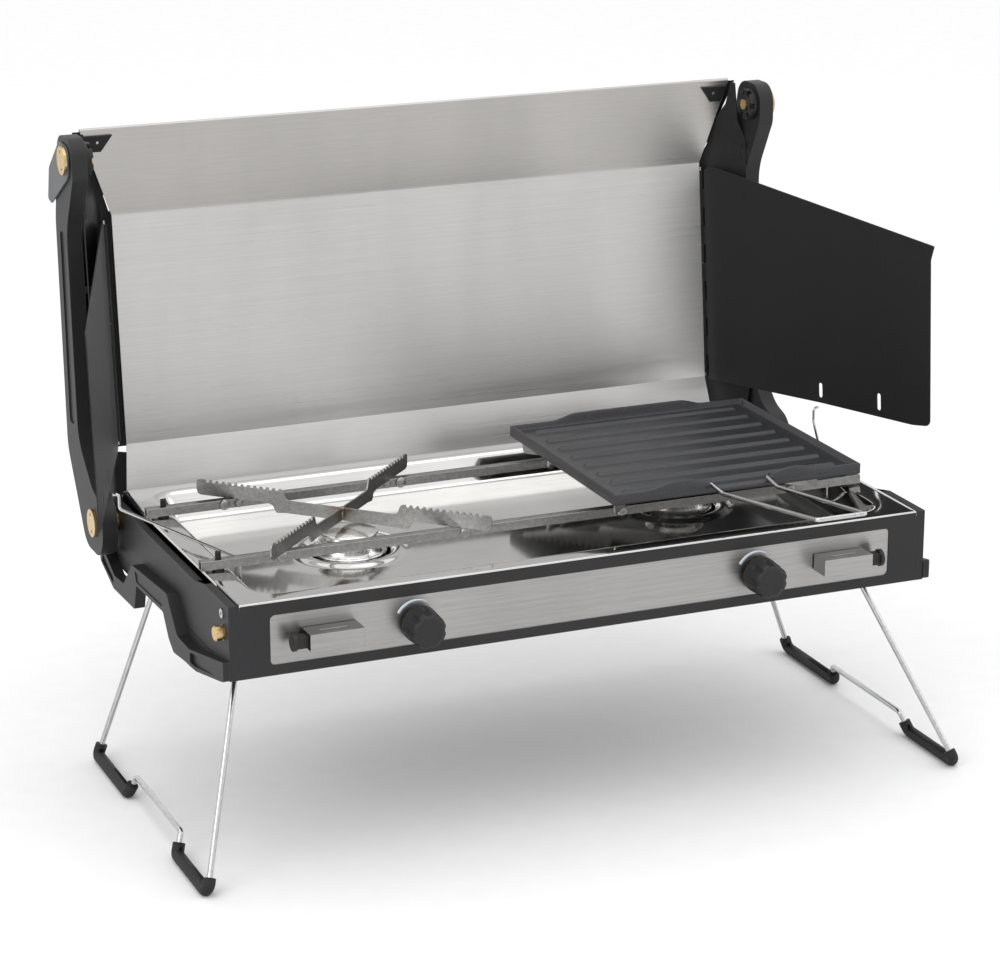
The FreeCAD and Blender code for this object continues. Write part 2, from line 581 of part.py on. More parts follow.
FOOT_Z = -size("leg_height") + size("sleeve_radius") - size("sleeve_flat")
LEG_Z = -size("leg_hinge_drop")
LEG_BEND = 9.0
FOOT_FRONT, FOOT_BACK = -20.0, 298.0
JOG_FRONT, JOG_BACK, JOG_RISE, JOG_RUN = 62.0, 204.0, 17.0, 8.0
LUG_SPOTS = (66.0, 298.0)
lugs = []
for name, side in SIDES:
    hinge_x = side * size("leg_hinge_x")
    foot_x = side * size("foot_x")
    rise = (size("foot_x") - size("leg_hinge_x")) / (LEG_Z - FOOT_Z)

    def on_leg(y, up):
        """A point on the leg's slanting plane, a height above the foot bar."""
        return (foot_x - side * up * rise, y, FOOT_Z + up)

    path = [(hinge_x, 88, LEG_Z), (hinge_x, 72, LEG_Z), on_leg(FOOT_FRONT, 0), on_leg(JOG_FRONT, 0),
            on_leg(JOG_FRONT + JOG_RUN, JOG_RISE), on_leg(JOG_BACK - JOG_RUN, JOG_RISE),
            on_leg(JOG_BACK, 0), on_leg(FOOT_BACK, 0), (hinge_x, 292, LEG_Z), (hinge_x, 276, LEG_Z)]
    leg = wire_solid(path, 5.0, size("leg_wire_radius"))
    node(formed(f"leg_wire_{name}", leg), f"leg_wire_{name}")
    climb = 0.06
    top_front = Vector(hinge_x, 72, LEG_Z)
    top_back = Vector(hinge_x, 292, LEG_Z)
    low_front = Vector(*on_leg(FOOT_FRONT, 0))
    low_back = Vector(*on_leg(FOOT_BACK, 0))
    front_path = [tuple(low_front + (top_front - low_front) * climb), tuple(low_front),
                  on_leg(JOG_FRONT, 0), on_leg(JOG_FRONT + JOG_RUN * 0.5, JOG_RISE * 0.5)]
    back_path = [tuple(low_back + (top_back - low_back) * climb), tuple(low_back),
                 on_leg(JOG_BACK, 0), on_leg(JOG_BACK - JOG_RUN * 0.5, JOG_RISE * 0.5)]
    sleeves = []
    floor_cut = Part.makeBox(80, 400, 20, Vector(foot_x - 40, -60, -size("leg_height") - 20))
    for sleeve_path in (front_path, back_path):
        sleeve = wire_solid(sleeve_path, 5.0, size("sleeve_radius"))
        sleeves.append(sleeve.cut(leg).cut(floor_cut))
    node(formed(f"foot_sleeves_{name}", Part.makeCompound(sleeves)), f"foot_sleeves_{name}")
    for k, lug_y in enumerate((82.0, 282.0)):
        tab = block(f"lug_tab_{name}_{k}", hinge_x - 5, lug_y - 2, LEG_Z - 5, hinge_x + 5, lug_y + 2, 0)
        foot = block(f"lug_foot_{name}_{k}", hinge_x - 5, lug_y - 8, -1.2, hinge_x + 5, lug_y + 8, 0)
        eye = rod(f"lug_eye_{name}_{k}", "leg_wire_radius + running_gap", (hinge_x, lug_y - 9, LEG_Z),
                  (hinge_x, lug_y + 9, LEG_Z))
        lugs.append(cut(f"lug_{name}_{k}", fuse(f"lug_blank_{name}_{k}", [tab, foot]), [eye]))
node(group("leg_lugs", lugs), "leg_lugs")

# Pan support: two square rails, rubber buffers, two serrated crosses and their rivets

RAIL = size("rail_side")
RAIL_LOW = 66.0
RAIL_HIGH = RAIL_LOW + RAIL
SHIFT = size("support_shift")
RAIL_END = size("rail_length") / 2
CROSS_Y = (size("rail_front") + size("rail_rear")) / 2
BUFFER_INSET = 16.0

rails = []
for k, rail_y in enumerate((size("rail_front"), size("rail_rear"))):
    bar = doc.addObject("Part::Box", f"rail_{k}")
    bind(bar, "Length", "rail_length")
    bind(bar, "Width", "rail_side")
    bind(bar, "Height", "rail_side")
    bar.Placement = Placement(Vector(SHIFT - RAIL_END, rail_y - RAIL / 2, RAIL_LOW), Rotation())
    holes = []
    for end in (-1, 1):
        mouth_x = SHIFT + end * RAIL_END
        low, high = sorted((mouth_x - end * 40, mouth_x + end))
        holes.append(block(f"rail_mouth_{k}_{end + 1}", low, rail_y - RAIL / 2 + 1, RAIL_LOW + 1, high,
                           rail_y + RAIL / 2 - 1, RAIL_HIGH - 1))
        pin_x = SHIFT + end * (RAIL_END - BUFFER_INSET)
        holes.append(rod(f"rail_pin_hole_{k}_{end + 1}", 2.5, (pin_x, rail_y, 60), (pin_x, rail_y, 90)))
    rails.append(cut(f"rail_cut_{k}", bar, holes))
node(group("pan_rails", rails), "pan_rails")

buffers = []
for k, rail_y in enumerate((size("rail_front"), size("rail_rear"))):
    for end in (-1, 1):
        x = SHIFT + end * (RAIL_END - BUFFER_INSET)
        foot = rod(f"buffer_foot_{k}_{end + 1}", 5.0, (x, rail_y, RIM + 0.02), (x, rail_y, RAIL_LOW))
        pin = rod(f"buffer_pin_{k}_{end + 1}", 2.5, (x, rail_y, RIM + 0.5), (x, rail_y, RAIL_HIGH + 6.5))
        buffers.append(fuse(f"buffer_{k}_{end + 1}", [foot, pin]))
node(group("rail_buffers", buffers), "rail_buffers")

CROSS_TOP = size("cross_top")
REACH = size("cross_reach")
TOOTH_FROM, TOOTH_STEP, TOOTH_DEEP = 62.0, 6.0, 2.0
INNER_TOP, INNER_LOW = 78.5, 67.0


def arm_outline(reach):
    """One whole strip of a cross: both arms, serrated outside, low in the middle."""
    half = [(0, INNER_TOP), (52, INNER_TOP), (54, CROSS_TOP - 4), (58, CROSS_TOP)]
    at = TOOTH_FROM
    while at + TOOTH_STEP <= reach - 2:
        half += [(at, CROSS_TOP), (at + TOOTH_STEP / 2, CROSS_TOP - TOOTH_DEEP)]
        at += TOOTH_STEP
    half += [(at, CROSS_TOP), (reach, CROSS_TOP - 1), (reach, RAIL_HIGH + 4), (reach - 4, RAIL_HIGH),
             (69, RAIL_HIGH), (63, INNER_LOW - 1), (0, INNER_LOW)]
    mirrored = [(-x, z) for x, z in half[::-1]]
    return half[1:-1] + [(0, INNER_LOW)] + mirrored[1:-1] + [(0, INNER_TOP)]


for name, side in SIDES:
    cross_x = SHIFT + side * (BURNER_X - 1)
    strips = []
    for k, turn in enumerate((1, -1)):
        at = frame((cross_x, CROSS_Y, 0), (1, turn, 0), (0, 0, 1))
        strips.append(plate(f"cross_strip_{name}_{k}", at, "cross_sheet", [arm_outline(REACH)], midplane=True))
    node(fuse(f"pot_cross_{name}", strips), f"pot_cross_{name}")

rivets = []
for name, side in SIDES:
    cross_x = SHIFT + side * (BURNER_X - 1)
    for k, rail_y in enumerate((size("rail_front"), size("rail_rear"))):
        for end in (-1, 1):
            x = cross_x + end * (abs(rail_y - CROSS_Y) + (6.5 if k == 0 else -6.5))
            face_y = rail_y - RAIL / 2
            rivet_at = frame((x, face_y, RAIL_LOW + RAIL / 2), (1, 0, 0), (0, -1, 0))
            dome = [(0, 0), (3.9, 0), (3.9, 0.8), (3.0, 2.1), (0, 2.8)]
            rivets.append(turned(f"rivet_{name}_{k}_{end + 1}", rivet_at, dome))
node(group("rail_rivets", rivets), "rail_rivets")

# Griddle: a cast plate with ribs, a rim, raised walls and a wire handle

GRIDDLE_X, GRIDDLE_Y = 163.0, 163.0
GX = size("griddle_half_width")
GY = size("griddle_half_depth")
G_LOW = CROSS_TOP + 0.02
G_TALL = size("griddle_thick")
RIM_WIDE, RIM_DEEP = 3.2, 5.0
RIB_COUNT, RIB_WIDE, RIB_TALL = 8, 6.0, 2.6
GAP_LEFT, GAP_RIGHT = -28.5, 31.0
EYE_INSET, EYE_UP = 3.0, 7.0

body = doc.addObject("PartDesign::Body", "griddle_casting")
body.Placement = top_view(G_LOW).multiply(Placement(Vector(GRIDDLE_X, GRIDDLE_Y, 0), Rotation()))
add_pad(body, "slab", "griddle_thick", [rectangle(-GX, -GY, GX, GY, 4)])
inner = rectangle(-GX + RIM_WIDE, -GY + RIM_WIDE, GX - RIM_WIDE, GY - RIM_WIDE, 3)
add_pocket(body, "dish", RIM_DEEP, [inner], height=G_TALL)
eye_blocks = [rectangle(GAP_LEFT - 11, -GY + 0.2, GAP_LEFT, -GY + 6.2),
              rectangle(GAP_RIGHT, -GY + 0.2, GAP_RIGHT + 11, -GY + 6.2)]
add_pad(body, "eye_blocks", G_TALL - 1, eye_blocks)
add_pad(body, "front_left_wall", 6, [[(GAP_LEFT - 55, -GY + 0.2), (GAP_LEFT, -GY + 0.2),
                                      (GAP_LEFT, -GY + RIM_WIDE + 1), (GAP_LEFT - 55, -GY + RIM_WIDE + 1)]],
        height=G_TALL - 0.5)
add_pad(body, "front_right_wall", 6, [[(GAP_RIGHT, -GY + 0.2), (GAP_RIGHT + 48, -GY + 0.2),
                                       (GAP_RIGHT + 48, -GY + RIM_WIDE + 1),
                                       (GAP_RIGHT, -GY + RIM_WIDE + 1)]], height=G_TALL - 0.5)
add_pad(body, "rear_wall", 6, [rectangle(-74, GY - RIM_WIDE - 1, 72, GY - 0.2)], height=G_TALL - 0.5)
add_pocket(body, "spout", 6.5, [rectangle(GAP_LEFT, -GY - 1, GAP_RIGHT, -GY + RIM_WIDE + 0.5)], height=G_TALL)
rib_gap = (2 * GY - 36) / (RIB_COUNT - 1)
rib_step = rectangle(-GX + 16, -GY + 18 - RIB_WIDE / 2, GX - 16, -GY + 18 + RIB_WIDE / 2, RIB_WIDE / 2 - 0.1)
rib = add_pad(body, "rib", RIB_TALL, [rib_step], height=G_TALL - RIM_DEEP - 0.01)
ribs = body.newObject("PartDesign::LinearPattern", "ribs")
ribs.Originals = [rib]
ribs.Direction = (rib.Profile[0], ["V_Axis"])
ribs.Length = rib_gap * (RIB_COUNT - 1)
ribs.Occurrences = RIB_COUNT
body.Tip = ribs
eye_y = GRIDDLE_Y - GY + EYE_INSET
eye_z = G_LOW + EYE_UP
eye_hole = rod("griddle_eye", "1.9 + running_gap", (GRIDDLE_X + GAP_LEFT - 9, eye_y, eye_z),
               (GRIDDLE_X + GAP_RIGHT + 9, eye_y, eye_z))
end_slopes = []
for k, (x, way) in enumerate(((GAP_LEFT - 55, 1), (GAP_RIGHT + 48, -1))):
    wedge = [(x - way, G_TALL + 7), (x - way, G_TALL), (x, G_TALL), (x + way * 26, G_TALL + 7)]
    end_slopes.append(plate(f"front_slope_{k}", frame((GRIDDLE_X, GRIDDLE_Y - GY + 8, G_LOW), (1, 0, 0), (0, 0, 1)),
                            16, [wedge]))
for k, (x, way) in enumerate(((-74, 1), (72, -1))):
    wedge = [(x - way, G_TALL + 7), (x - way, G_TALL), (x, G_TALL), (x + way * 16, G_TALL + 7)]
    end_slopes.append(plate(f"rear_slope_{k}", frame((GRIDDLE_X, GRIDDLE_Y + GY + 8, G_LOW), (1, 0, 0), (0, 0, 1)),
                            16, [wedge]))
node(cut("griddle", body, [eye_hole] + end_slopes), "griddle_plate")

HANDLE_REACH, HANDLE_RISE = 182.0, 22.0
handle_left = GRIDDLE_X + GAP_LEFT + 2.6
handle_right = GRIDDLE_X + GAP_RIGHT - 2.6
far_left, far_right = GRIDDLE_X - 21, GRIDDLE_X + 23.5
handle_path = [(handle_left - 9.5, eye_y, eye_z), (handle_left, eye_y, eye_z),
               (handle_left + 1, eye_y - 22, eye_z - 2.5),
               (far_left, eye_y - HANDLE_REACH, eye_z + HANDLE_RISE),
               (far_right, eye_y - HANDLE_REACH, eye_z + HANDLE_RISE),
               (handle_right - 1, eye_y - 22, eye_z - 2.5),
               (handle_right, eye_y, eye_z), (handle_right + 9.5, eye_y, eye_z)]
node(formed("griddle_handle", wire_solid(handle_path, 2.6, 1.9)), "griddle_handle")

# Lid frame: D is the distance in front of the main face, H the height above the lower bend

LEAN = math.radians(size("lid_lean"))
LID_UP = Vector(0, math.sin(LEAN), math.cos(LEAN))
LID_OUT = Vector(0, -math.cos(LEAN), math.sin(LEAN))
LID_ORIGIN = Vector(0, size("lid_bend_y"), size("lid_bend_z"))
BAND = math.radians(size("band_angle"))
MAIN = size("lid_main")


def on_lid(x, out, up):
    return LID_ORIGIN + Vector(x, 0, 0) + LID_OUT * out + LID_UP * up


TOP_OUT = size("band_top") * math.sin(BAND)
TOP_UP = MAIN + size("band_top") * math.cos(BAND)
HEM_HALF = 318.9
LIP_HALF = 300.0
LID_HALF = size("lid_half_width")
BACKWARD = -1 * LID_OUT


def lid_plane(origin, up_way):
    return frame(tuple(origin), (1, 0, 0), tuple(up_way))


top_way = LID_UP * math.cos(BAND) + LID_OUT * math.sin(BAND)
low_way = LID_UP * math.cos(BAND) - LID_OUT * math.sin(BAND)
main_face = plate("lid_main_face", lid_plane(on_lid(0, 0, 0), LID_UP), "tray_sheet",
                  [rectangle(-LID_HALF, -0.6, LID_HALF, MAIN + 0.6)], reverse=True)
TOP_BAND = size("band_top")
top_band = plate("lid_top_band", lid_plane(on_lid(0, 0, MAIN), top_way), "tray_sheet",
                 [[(-LID_HALF, 0), (LID_HALF, 0), (HEM_HALF, TOP_BAND), (-HEM_HALF, TOP_BAND)]], reverse=True)
LOW_BAND = size("band_low")
low_band = plate("lid_low_band", lid_plane(on_lid(0, 0, 0), low_way), "tray_sheet",
                 [[(-LIP_HALF, -LOW_BAND), (LIP_HALF, -LOW_BAND), (LID_HALF, 0), (-LID_HALF, 0)]], reverse=True)
hem = plate("lid_hem", lid_plane(on_lid(0, TOP_OUT, TOP_UP), top_way), 3.0,
            [rectangle(-HEM_HALF, -4.6, HEM_HALF, 0)], midplane=True)
node(fuse("lid_sheet", [main_face, top_band, low_band, hem]), "lid_panel")

# Lid sides flare outwards; the windscreens hinge on rods beside them

SCREEN_X = size("screen_hinge_x")
SCREEN_OUT = 4.5
FLARE = math.radians(60)
SCREEN_TURN = math.radians(size("screen_angle"))
ROD_LOW, ROD_HIGH, KNUCKLE_COUNT = 4.0, 202.0, 11
KNUCKLE = (ROD_HIGH - ROD_LOW) / KNUCKLE_COUNT
KNUCKLE_RADIUS, ROD_RADIUS = 2.8, 1.4


def flared(side, angle):
    """Unit vector in the lid's cross plane, turned from sideways towards the front."""
    return Vector(side * math.cos(angle), 0, 0) + LID_OUT * math.sin(angle)


def knuckles(name, side, first):
    """Every other barrel of a windscreen hinge, from the first one up."""
    barrels = []
    for k in range(first, KNUCKLE_COUNT, 2):
        low = on_lid(side * SCREEN_X, SCREEN_OUT, ROD_LOW + k * KNUCKLE + 0.25)
        high = on_lid(side * SCREEN_X, SCREEN_OUT, ROD_LOW + (k + 1) * KNUCKLE - 0.25)
        barrels.append(rod(f"{name}_barrel_{k}", KNUCKLE_RADIUS, tuple(low), tuple(high)))
    return barrels


def hinge_hole(name, side):
    low = on_lid(side * SCREEN_X, SCREEN_OUT, ROD_LOW - 8)
    high = on_lid(side * SCREEN_X, SCREEN_OUT, ROD_HIGH + 8)
    return rod(f"{name}_bore", f"{ROD_RADIUS} + running_gap", tuple(low), tuple(high))


FLARE_WIDE = 48.6
TIE_SPOTS = (30.0, 150.0, 226.0)
ARM_IN = size("arm_inner")
ARM_OUT = size("arm_outer")
screen_rods = []
for name, side in SIDES:
    # side plate, seen square on: X runs along the flare, Y up the lid
    origin = on_lid(side * (SCREEN_X + 4.5), 3.0, 0)
    at = frame(tuple(origin), tuple(flared(side, FLARE)), tuple(LID_UP))
    outline = [(-5.2, -40), (-5.2, 213), (4, 226), (11, 242), (18.5, 256), (27, 266), (33.5, TOP_UP - 3),
               (38, TOP_UP - 3), (40, 250), (FLARE_WIDE, 232, 6), (FLARE_WIDE, 0, 10), (38, -52, 8), (26, -66, 4), (8, -66)]
    slit = rectangle(43, 212, 45, 225, 0.9)
    side_plate = plate(f"lid_side_sheet_{name}", at, 1.2, [outline, slit], midplane=True)
    tabs = []
    for k in range(0, KNUCKLE_COUNT, 2):
        tab_at = frame(tuple(on_lid(side * SCREEN_X, SCREEN_OUT, ROD_LOW + k * KNUCKLE + 0.25)),
                       tuple(Vector(side, 0, 0)), tuple(LID_UP))
        tabs.append(plate(f"lid_tab_{name}_{k}", tab_at, 1.0,
                          [rectangle(1.8, 0, 5.6, KNUCKLE - 0.5)], midplane=True))
    flange = plate(f"lid_flange_{name}", lid_plane(on_lid(0, -THIN - 0.05, 0), LID_UP), "panel_sheet",
                   [rectangle(*sorted((side * 283, side * 300))[:1], -2, *sorted((side * 283, side * 300))[1:], MAIN)],
                   reverse=True)
    rear_web = [(298.5, MAIN - 2), (325.5, MAIN - 2), (325.5, -62), (288, -62), (288, -8), (298.5, -6)]
    tabs.append(plate(f"lid_web_{name}", lid_plane(on_lid(0, -THIN - 0.05, 0), LID_UP), "panel_sheet",
                      [[(side * x, up) for x, up in rear_web]], reverse=True))
    for k, up in enumerate(TIE_SPOTS):
        spot = on_lid(0, 40, up)
        tabs.append(rod(f"tie_{name}_{k}", 3.2, (side * (ARM_IN - 4.4), spot.y, spot.z),
                        (side * ARM_IN, spot.y, spot.z)))
    blank = fuse(f"lid_side_blank_{name}", [side_plate, flange] + tabs + knuckles(f"lid_{name}", side, 0))
    node(cut(f"lid_side_{name}", blank, [hinge_hole(f"lid_{name}", side)]), f"lid_side_{name}")
    rod_low = on_lid(side * SCREEN_X, SCREEN_OUT, ROD_LOW - 3)
    rod_high = on_lid(side * SCREEN_X, SCREEN_OUT, ROD_HIGH + 3)
    screen_rods.append(rod(f"screen_rod_{name}", ROD_RADIUS, tuple(rod_low), tuple(rod_high)))

    # windscreen: X runs outwards from the hinge, Y up the lid
    screen_at = frame(tuple(on_lid(side * SCREEN_X, SCREEN_OUT, 0)), tuple(flared(side, SCREEN_TURN)),
                      tuple(LID_UP))
    screen_outline = [(5, -2), (5, 205, 6), (22, 205, 30), (290.5, 150, 1), (286, 137, 3), (283, -16, 6),
                      (262, -17, 40), (150, -9, 40)]
    slots = [rectangle(148, -4, 152.5, 10, 2.2), rectangle(220, -8, 224.5, 8, 2.2)]
    face = plate(f"screen_face_{name}", screen_at, "screen_sheet", [screen_outline] + slots, midplane=True)
    leaves = []
    for k in range(1, KNUCKLE_COUNT, 2):
        low = ROD_LOW + k * KNUCKLE + 0.25
        leaves.append(plate(f"screen_leaf_{name}_{k}", screen_at, "screen_sheet",
                            [rectangle(1.8, low, 6.5, low + KNUCKLE - 0.5)], midplane=True))
    blank = fuse(f"windscreen_blank_{name}", [face] + leaves + knuckles(f"screen_{name}", side, 1))
    node(cut(f"windscreen_{name}", blank, [hinge_hole(f"screen_{name}", side)]), f"windscreen_{name}")

node(group("screen_rods", screen_rods), "screen_rods")

# Lid arms, brass hinge discs and the carry handle

HANDLE_Y = size("handle_y")
HANDLE_Z = size("handle_z")
arm_outline_points = [(288, 30, 26), (300, 14, 20), (342, 14, 24), (392, 92, 40), (401, 300, 60),
                      (384, 380, 18), (340, 380, 18), (340, 345, 14), (366, 296, 50), (356, 108, 40),
                      (318, 74, 30), (288, 64, 22)]
for name, side in SIDES:
    inner_x = side * ARM_IN
    holes = [(PIVOT_Y, PIVOT_Z, "shaft_radius + running_gap"), (HANDLE_Y, HANDLE_Z, "shaft_radius + running_gap")]
    arm = plate(f"lid_arm_{name}", side_view(inner_x), "arm_outer - arm_inner", [arm_outline_points], holes,
                reverse=side < 0)
    relief = [(374, 292, 4), (367, 118, 4), (381, 118, 4), (388, 292, 4)]
    add_pocket(arm, f"arm_relief_{name}", 1.5, [relief],
               height=side * (ARM_OUT - ARM_IN), reverse=side < 0)
    node(arm, f"lid_arm_{name}")


def hinge_disc(name, side, y, z, inner_x, face_x, shoulder=None):
    """Brass disc with two spanner holes on a shaft."""
    disc = rod(f"{name}_disc", "disc_radius", (side * face_x, y, z), (side * (face_x + 2.6), y, z))
    shaft = rod(f"{name}_shaft", "shaft_radius", (side * inner_x, y, z), (side * (face_x + 1), y, z))
    parts = [disc, shaft]
    if shoulder:
        low_x, high_x = shoulder
        parts.append(rod(f"{name}_shoulder", 9.0, (side * low_x, y, z), (side * high_x, y, z)))
    holes = []
    for k, turn in enumerate((1, -1)):
        spot_y = y + turn * 1.5
        spot_z = z + turn * 7.5
        holes.append(rod(f"{name}_spanner_{k}", 1.3, (side * (face_x + 1.2), spot_y, spot_z),
                         (side * (face_x + 4), spot_y, spot_z)))
    return cut(name, fuse(f"{name}_blank", parts), holes)


lid_discs = [hinge_disc(f"lid_disc_{name}", side, PIVOT_Y, PIVOT_Z, HALF - 6, ARM_OUT + 0.2,
                        (HALF + 0.02, ARM_IN - 0.2)) for name, side in SIDES]
node(group("lid_hinge_discs", lid_discs), "lid_hinge_discs")
END_PLATE_IN, END_PLATE_OUT = ARM_OUT + 0.4, ARM_OUT + 2.0
handle_discs = [hinge_disc(f"handle_disc_{name}", side, HANDLE_Y, HANDLE_Z, ARM_IN - 9, END_PLATE_OUT + 0.2)
                for name, side in SIDES]
node(group("handle_hinge_discs", handle_discs), "handle_hinge_discs")

SLAT_UP, SLAT_WIDE, SLAT_THICK = 30.0, 30.0, 6.0
slat_centre = on_lid(0, 0, MAIN) + top_way * SLAT_UP
band_back = (LID_OUT * math.cos(BAND) - LID_UP * math.sin(BAND)) * -1
slat_at = lid_plane(slat_centre + band_back * 3.0, top_way)
slat = plate("handle_slat", slat_at, SLAT_THICK,
             [rectangle(-END_PLATE_IN + 0.02, -SLAT_WIDE / 2, END_PLATE_IN - 0.02, SLAT_WIDE / 2, 2)], reverse=True)
node(slat, "handle_slat")
hubs = []
for name, side in SIDES:
    low = slat_centre - top_way * (SLAT_WIDE / 2 + 2)
    high = slat_centre + top_way * (SLAT_WIDE / 2 - 2)
    back_low = low + band_back * 10.5
    back_high = high + band_back * 10.5
    plate_outline = [(HANDLE_Y - 12, HANDLE_Z + 12, 10), (HANDLE_Y - 10, HANDLE_Z - 14, 10),
                     (low.y, low.z, 3), (back_low.y, back_low.z, 3), (back_high.y, back_high.z, 10),
                     (HANDLE_Y + 14, HANDLE_Z + 15, 12)]
    end_plate = plate(f"handle_plate_{name}", side_view(side * END_PLATE_IN), END_PLATE_OUT - END_PLATE_IN,
                      [plate_outline], [(HANDLE_Y, HANDLE_Z, "shaft_radius + running_gap")], reverse=side < 0)
    node(end_plate, f"handle_plate_{name}")
    hub = doc.addObject("PartDesign::Body", f"handle_knuckle_{name}")
    hub.Placement = frame((side * (ARM_IN - 7), HANDLE_Y, HANDLE_Z), (0, 1, 0), (0, 0, 1))
    add_pad(hub, f"hub_{name}", 6.6, circles=[(0, 0, 14.5), (0, 0, "shaft_radius")], reverse=side < 0)
    notch = add_pocket(hub, f"notch_{name}", 3.5, [rectangle(9, -2.6, 16, 2.6)], reverse=side > 0)
    notches = hub.newObject("PartDesign::PolarPattern", f"notches_{name}")
    notches.Originals = [notch]
    notches.Axis = (notch.Profile[0], ["N_Axis"])
    notches.Angle = 360
    notches.Occurrences = 6
    hub.Tip = notches
    hubs.append(hub)
node(group("handle_knuckles", hubs), "handle_knuckles")

corner_pieces = []
for name, side in SIDES:
    at = lid_plane(on_lid(0, TOP_OUT, TOP_UP) + (LID_OUT * math.cos(BAND) - LID_UP * math.sin(BAND)) * 2.0,
                   top_way)
    tri = [(side * 290, -5.5), (side * 316, -5.5), (side * 310, -24, 3), (side * 302, -24, 3)]
    corner_pieces.append(plate(f"corner_bracket_{name}", at, 1.6, [tri], [(side * 303, -12, 1.6)]))
node(group("lid_corner_brackets", corner_pieces), "lid_corner_brackets")

# Brace wires reach from the tray to just under the open windscreens

BRACE_TIP_Z = 90.4
for name, side in SIDES:
    tip_out = on_lid(side * SCREEN_X, SCREEN_OUT, 0) + flared(side, SCREEN_TURN) * 150
    inward = Vector(-side * math.sin(SCREEN_TURN), 0, 0) + LID_OUT * math.cos(SCREEN_TURN)
    tip = Vector(tip_out.x, tip_out.y, BRACE_TIP_Z) + inward * 3.4
    elbow = tip + inward * 5.5
    path = [(side * BRACE_X, BRACE_Y, BRACE_EYE[0] - 4), (side * BRACE_X, BRACE_Y, RIM + 3.5),
            (elbow.x, elbow.y, BRACE_TIP_Z - 13), (elbow.x, elbow.y, BRACE_TIP_Z), tuple(tip)]
    node(formed(f"brace_wire_{name}", wire_solid(path, 2.6, size("brace_wire_radius"))), f"brace_wire_{name}")

# Check every object, then write one file a piece

doc.recompute()
faults = [o.Name for o in doc.Objects if "Invalid" in o.State or "Error" in o.State]
for piece in nodes:
    shape = piece.Shape
    if shape.isNull() or not shape.isValid() or not shape.Solids:
        faults.append(piece.Label)
if faults:
    raise RuntimeError(f"these pieces failed: {faults}")

os.makedirs("parts", exist_ok=True)
for piece in nodes:
    piece.Shape.exportStep(f"parts/{piece.Label}.step")
everything = Part.makeCompound([piece.Shape for piece in nodes])
box = everything.BoundBox
print("pieces", len(nodes))
print("box x", round(box.XMin, 2), round(box.XMax, 2), "y", round(box.YMin, 2), round(box.YMax, 2),
      "z", round(box.ZMin, 2), round(box.ZMax, 2))
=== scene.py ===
# %% [markdown]
# # A folding twin-burner camping stove
#
# The real object is a flat steel case that opens like a suitcase. The lid stands up as a screen against the
# wind, two black side screens swing out of it, and bent wire legs hold the case off the ground.
#
# The working parts, such as hinges, shafts and panels, come ready-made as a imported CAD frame. This lesson
# gives them their finishes, and builds again the pieces that a folded CAD solid can't show well: the pressed
# tray, the bent lid, the ribbed griddle, the toothed pot supports, the burners and the knobs.

import json
import math

import bmesh
import bpy
from mathutils import Matrix, Vector


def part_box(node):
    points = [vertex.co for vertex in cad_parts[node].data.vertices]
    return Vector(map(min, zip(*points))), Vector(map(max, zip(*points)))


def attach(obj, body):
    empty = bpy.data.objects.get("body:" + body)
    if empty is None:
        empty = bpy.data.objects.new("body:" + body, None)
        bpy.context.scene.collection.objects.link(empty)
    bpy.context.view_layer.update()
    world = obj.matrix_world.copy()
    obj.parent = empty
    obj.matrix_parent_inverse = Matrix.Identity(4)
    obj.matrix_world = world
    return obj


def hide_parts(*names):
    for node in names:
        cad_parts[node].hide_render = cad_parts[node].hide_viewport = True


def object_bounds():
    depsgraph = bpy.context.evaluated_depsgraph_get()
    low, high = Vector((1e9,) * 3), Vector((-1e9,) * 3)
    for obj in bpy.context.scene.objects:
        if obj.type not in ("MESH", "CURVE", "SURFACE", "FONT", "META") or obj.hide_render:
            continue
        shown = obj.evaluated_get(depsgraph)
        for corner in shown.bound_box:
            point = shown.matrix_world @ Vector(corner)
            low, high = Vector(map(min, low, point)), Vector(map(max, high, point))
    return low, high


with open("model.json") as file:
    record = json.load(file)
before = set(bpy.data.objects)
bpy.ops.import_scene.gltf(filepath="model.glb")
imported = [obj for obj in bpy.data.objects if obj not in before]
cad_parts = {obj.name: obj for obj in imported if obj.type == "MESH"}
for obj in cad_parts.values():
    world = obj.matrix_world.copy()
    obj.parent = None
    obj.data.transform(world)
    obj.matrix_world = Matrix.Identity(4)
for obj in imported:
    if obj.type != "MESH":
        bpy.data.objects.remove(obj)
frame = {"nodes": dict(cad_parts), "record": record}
cad_low, cad_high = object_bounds()
print("pieces", len(frame["nodes"]), "size", [round(v, 3) for v in cad_high - cad_low])

# %% [markdown]
# ## Places on the case
#
# A maker measures a case from its own corner. Here every place is given in millimetres to the right of the
# middle, behind the front panel, and above the case's bottom. The front panel and base pan tell where those
# lie.

# %% Measure from the case
front_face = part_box("front_panel")[0].y
case_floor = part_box("base_pan")[0].z
MM = 0.001


def spot(x, y, z):
    return Vector((x * MM, front_face + y * MM, case_floor + z * MM))


rim_height = (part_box("drip_tray")[1].z - case_floor) / MM
print("tray rim above the case bottom, mm:", round(rim_height, 1))

# %% [markdown]
# ## How a finish is built
#
# Every finish below starts with the same chain. A noise texture, stretched to the size of the real grain, is
# turned into a range of colours, a range of roughness and a shallow relief. A second, much larger noise adds
# the slow change that handling, heat and light give a real surface. One function holds the chain, so that
# each finish is a few numbers with a meaning: how long the grain is, how deep, how dark and how shiny.


# %% A chain of nodes for one finish
def new_finish(name):
    finish = bpy.data.materials.new(name)
    finish.use_nodes = True
    nodes = finish.node_tree.nodes
    shader = nodes["Principled BSDF"]
    return finish, nodes, finish.node_tree.links, shader


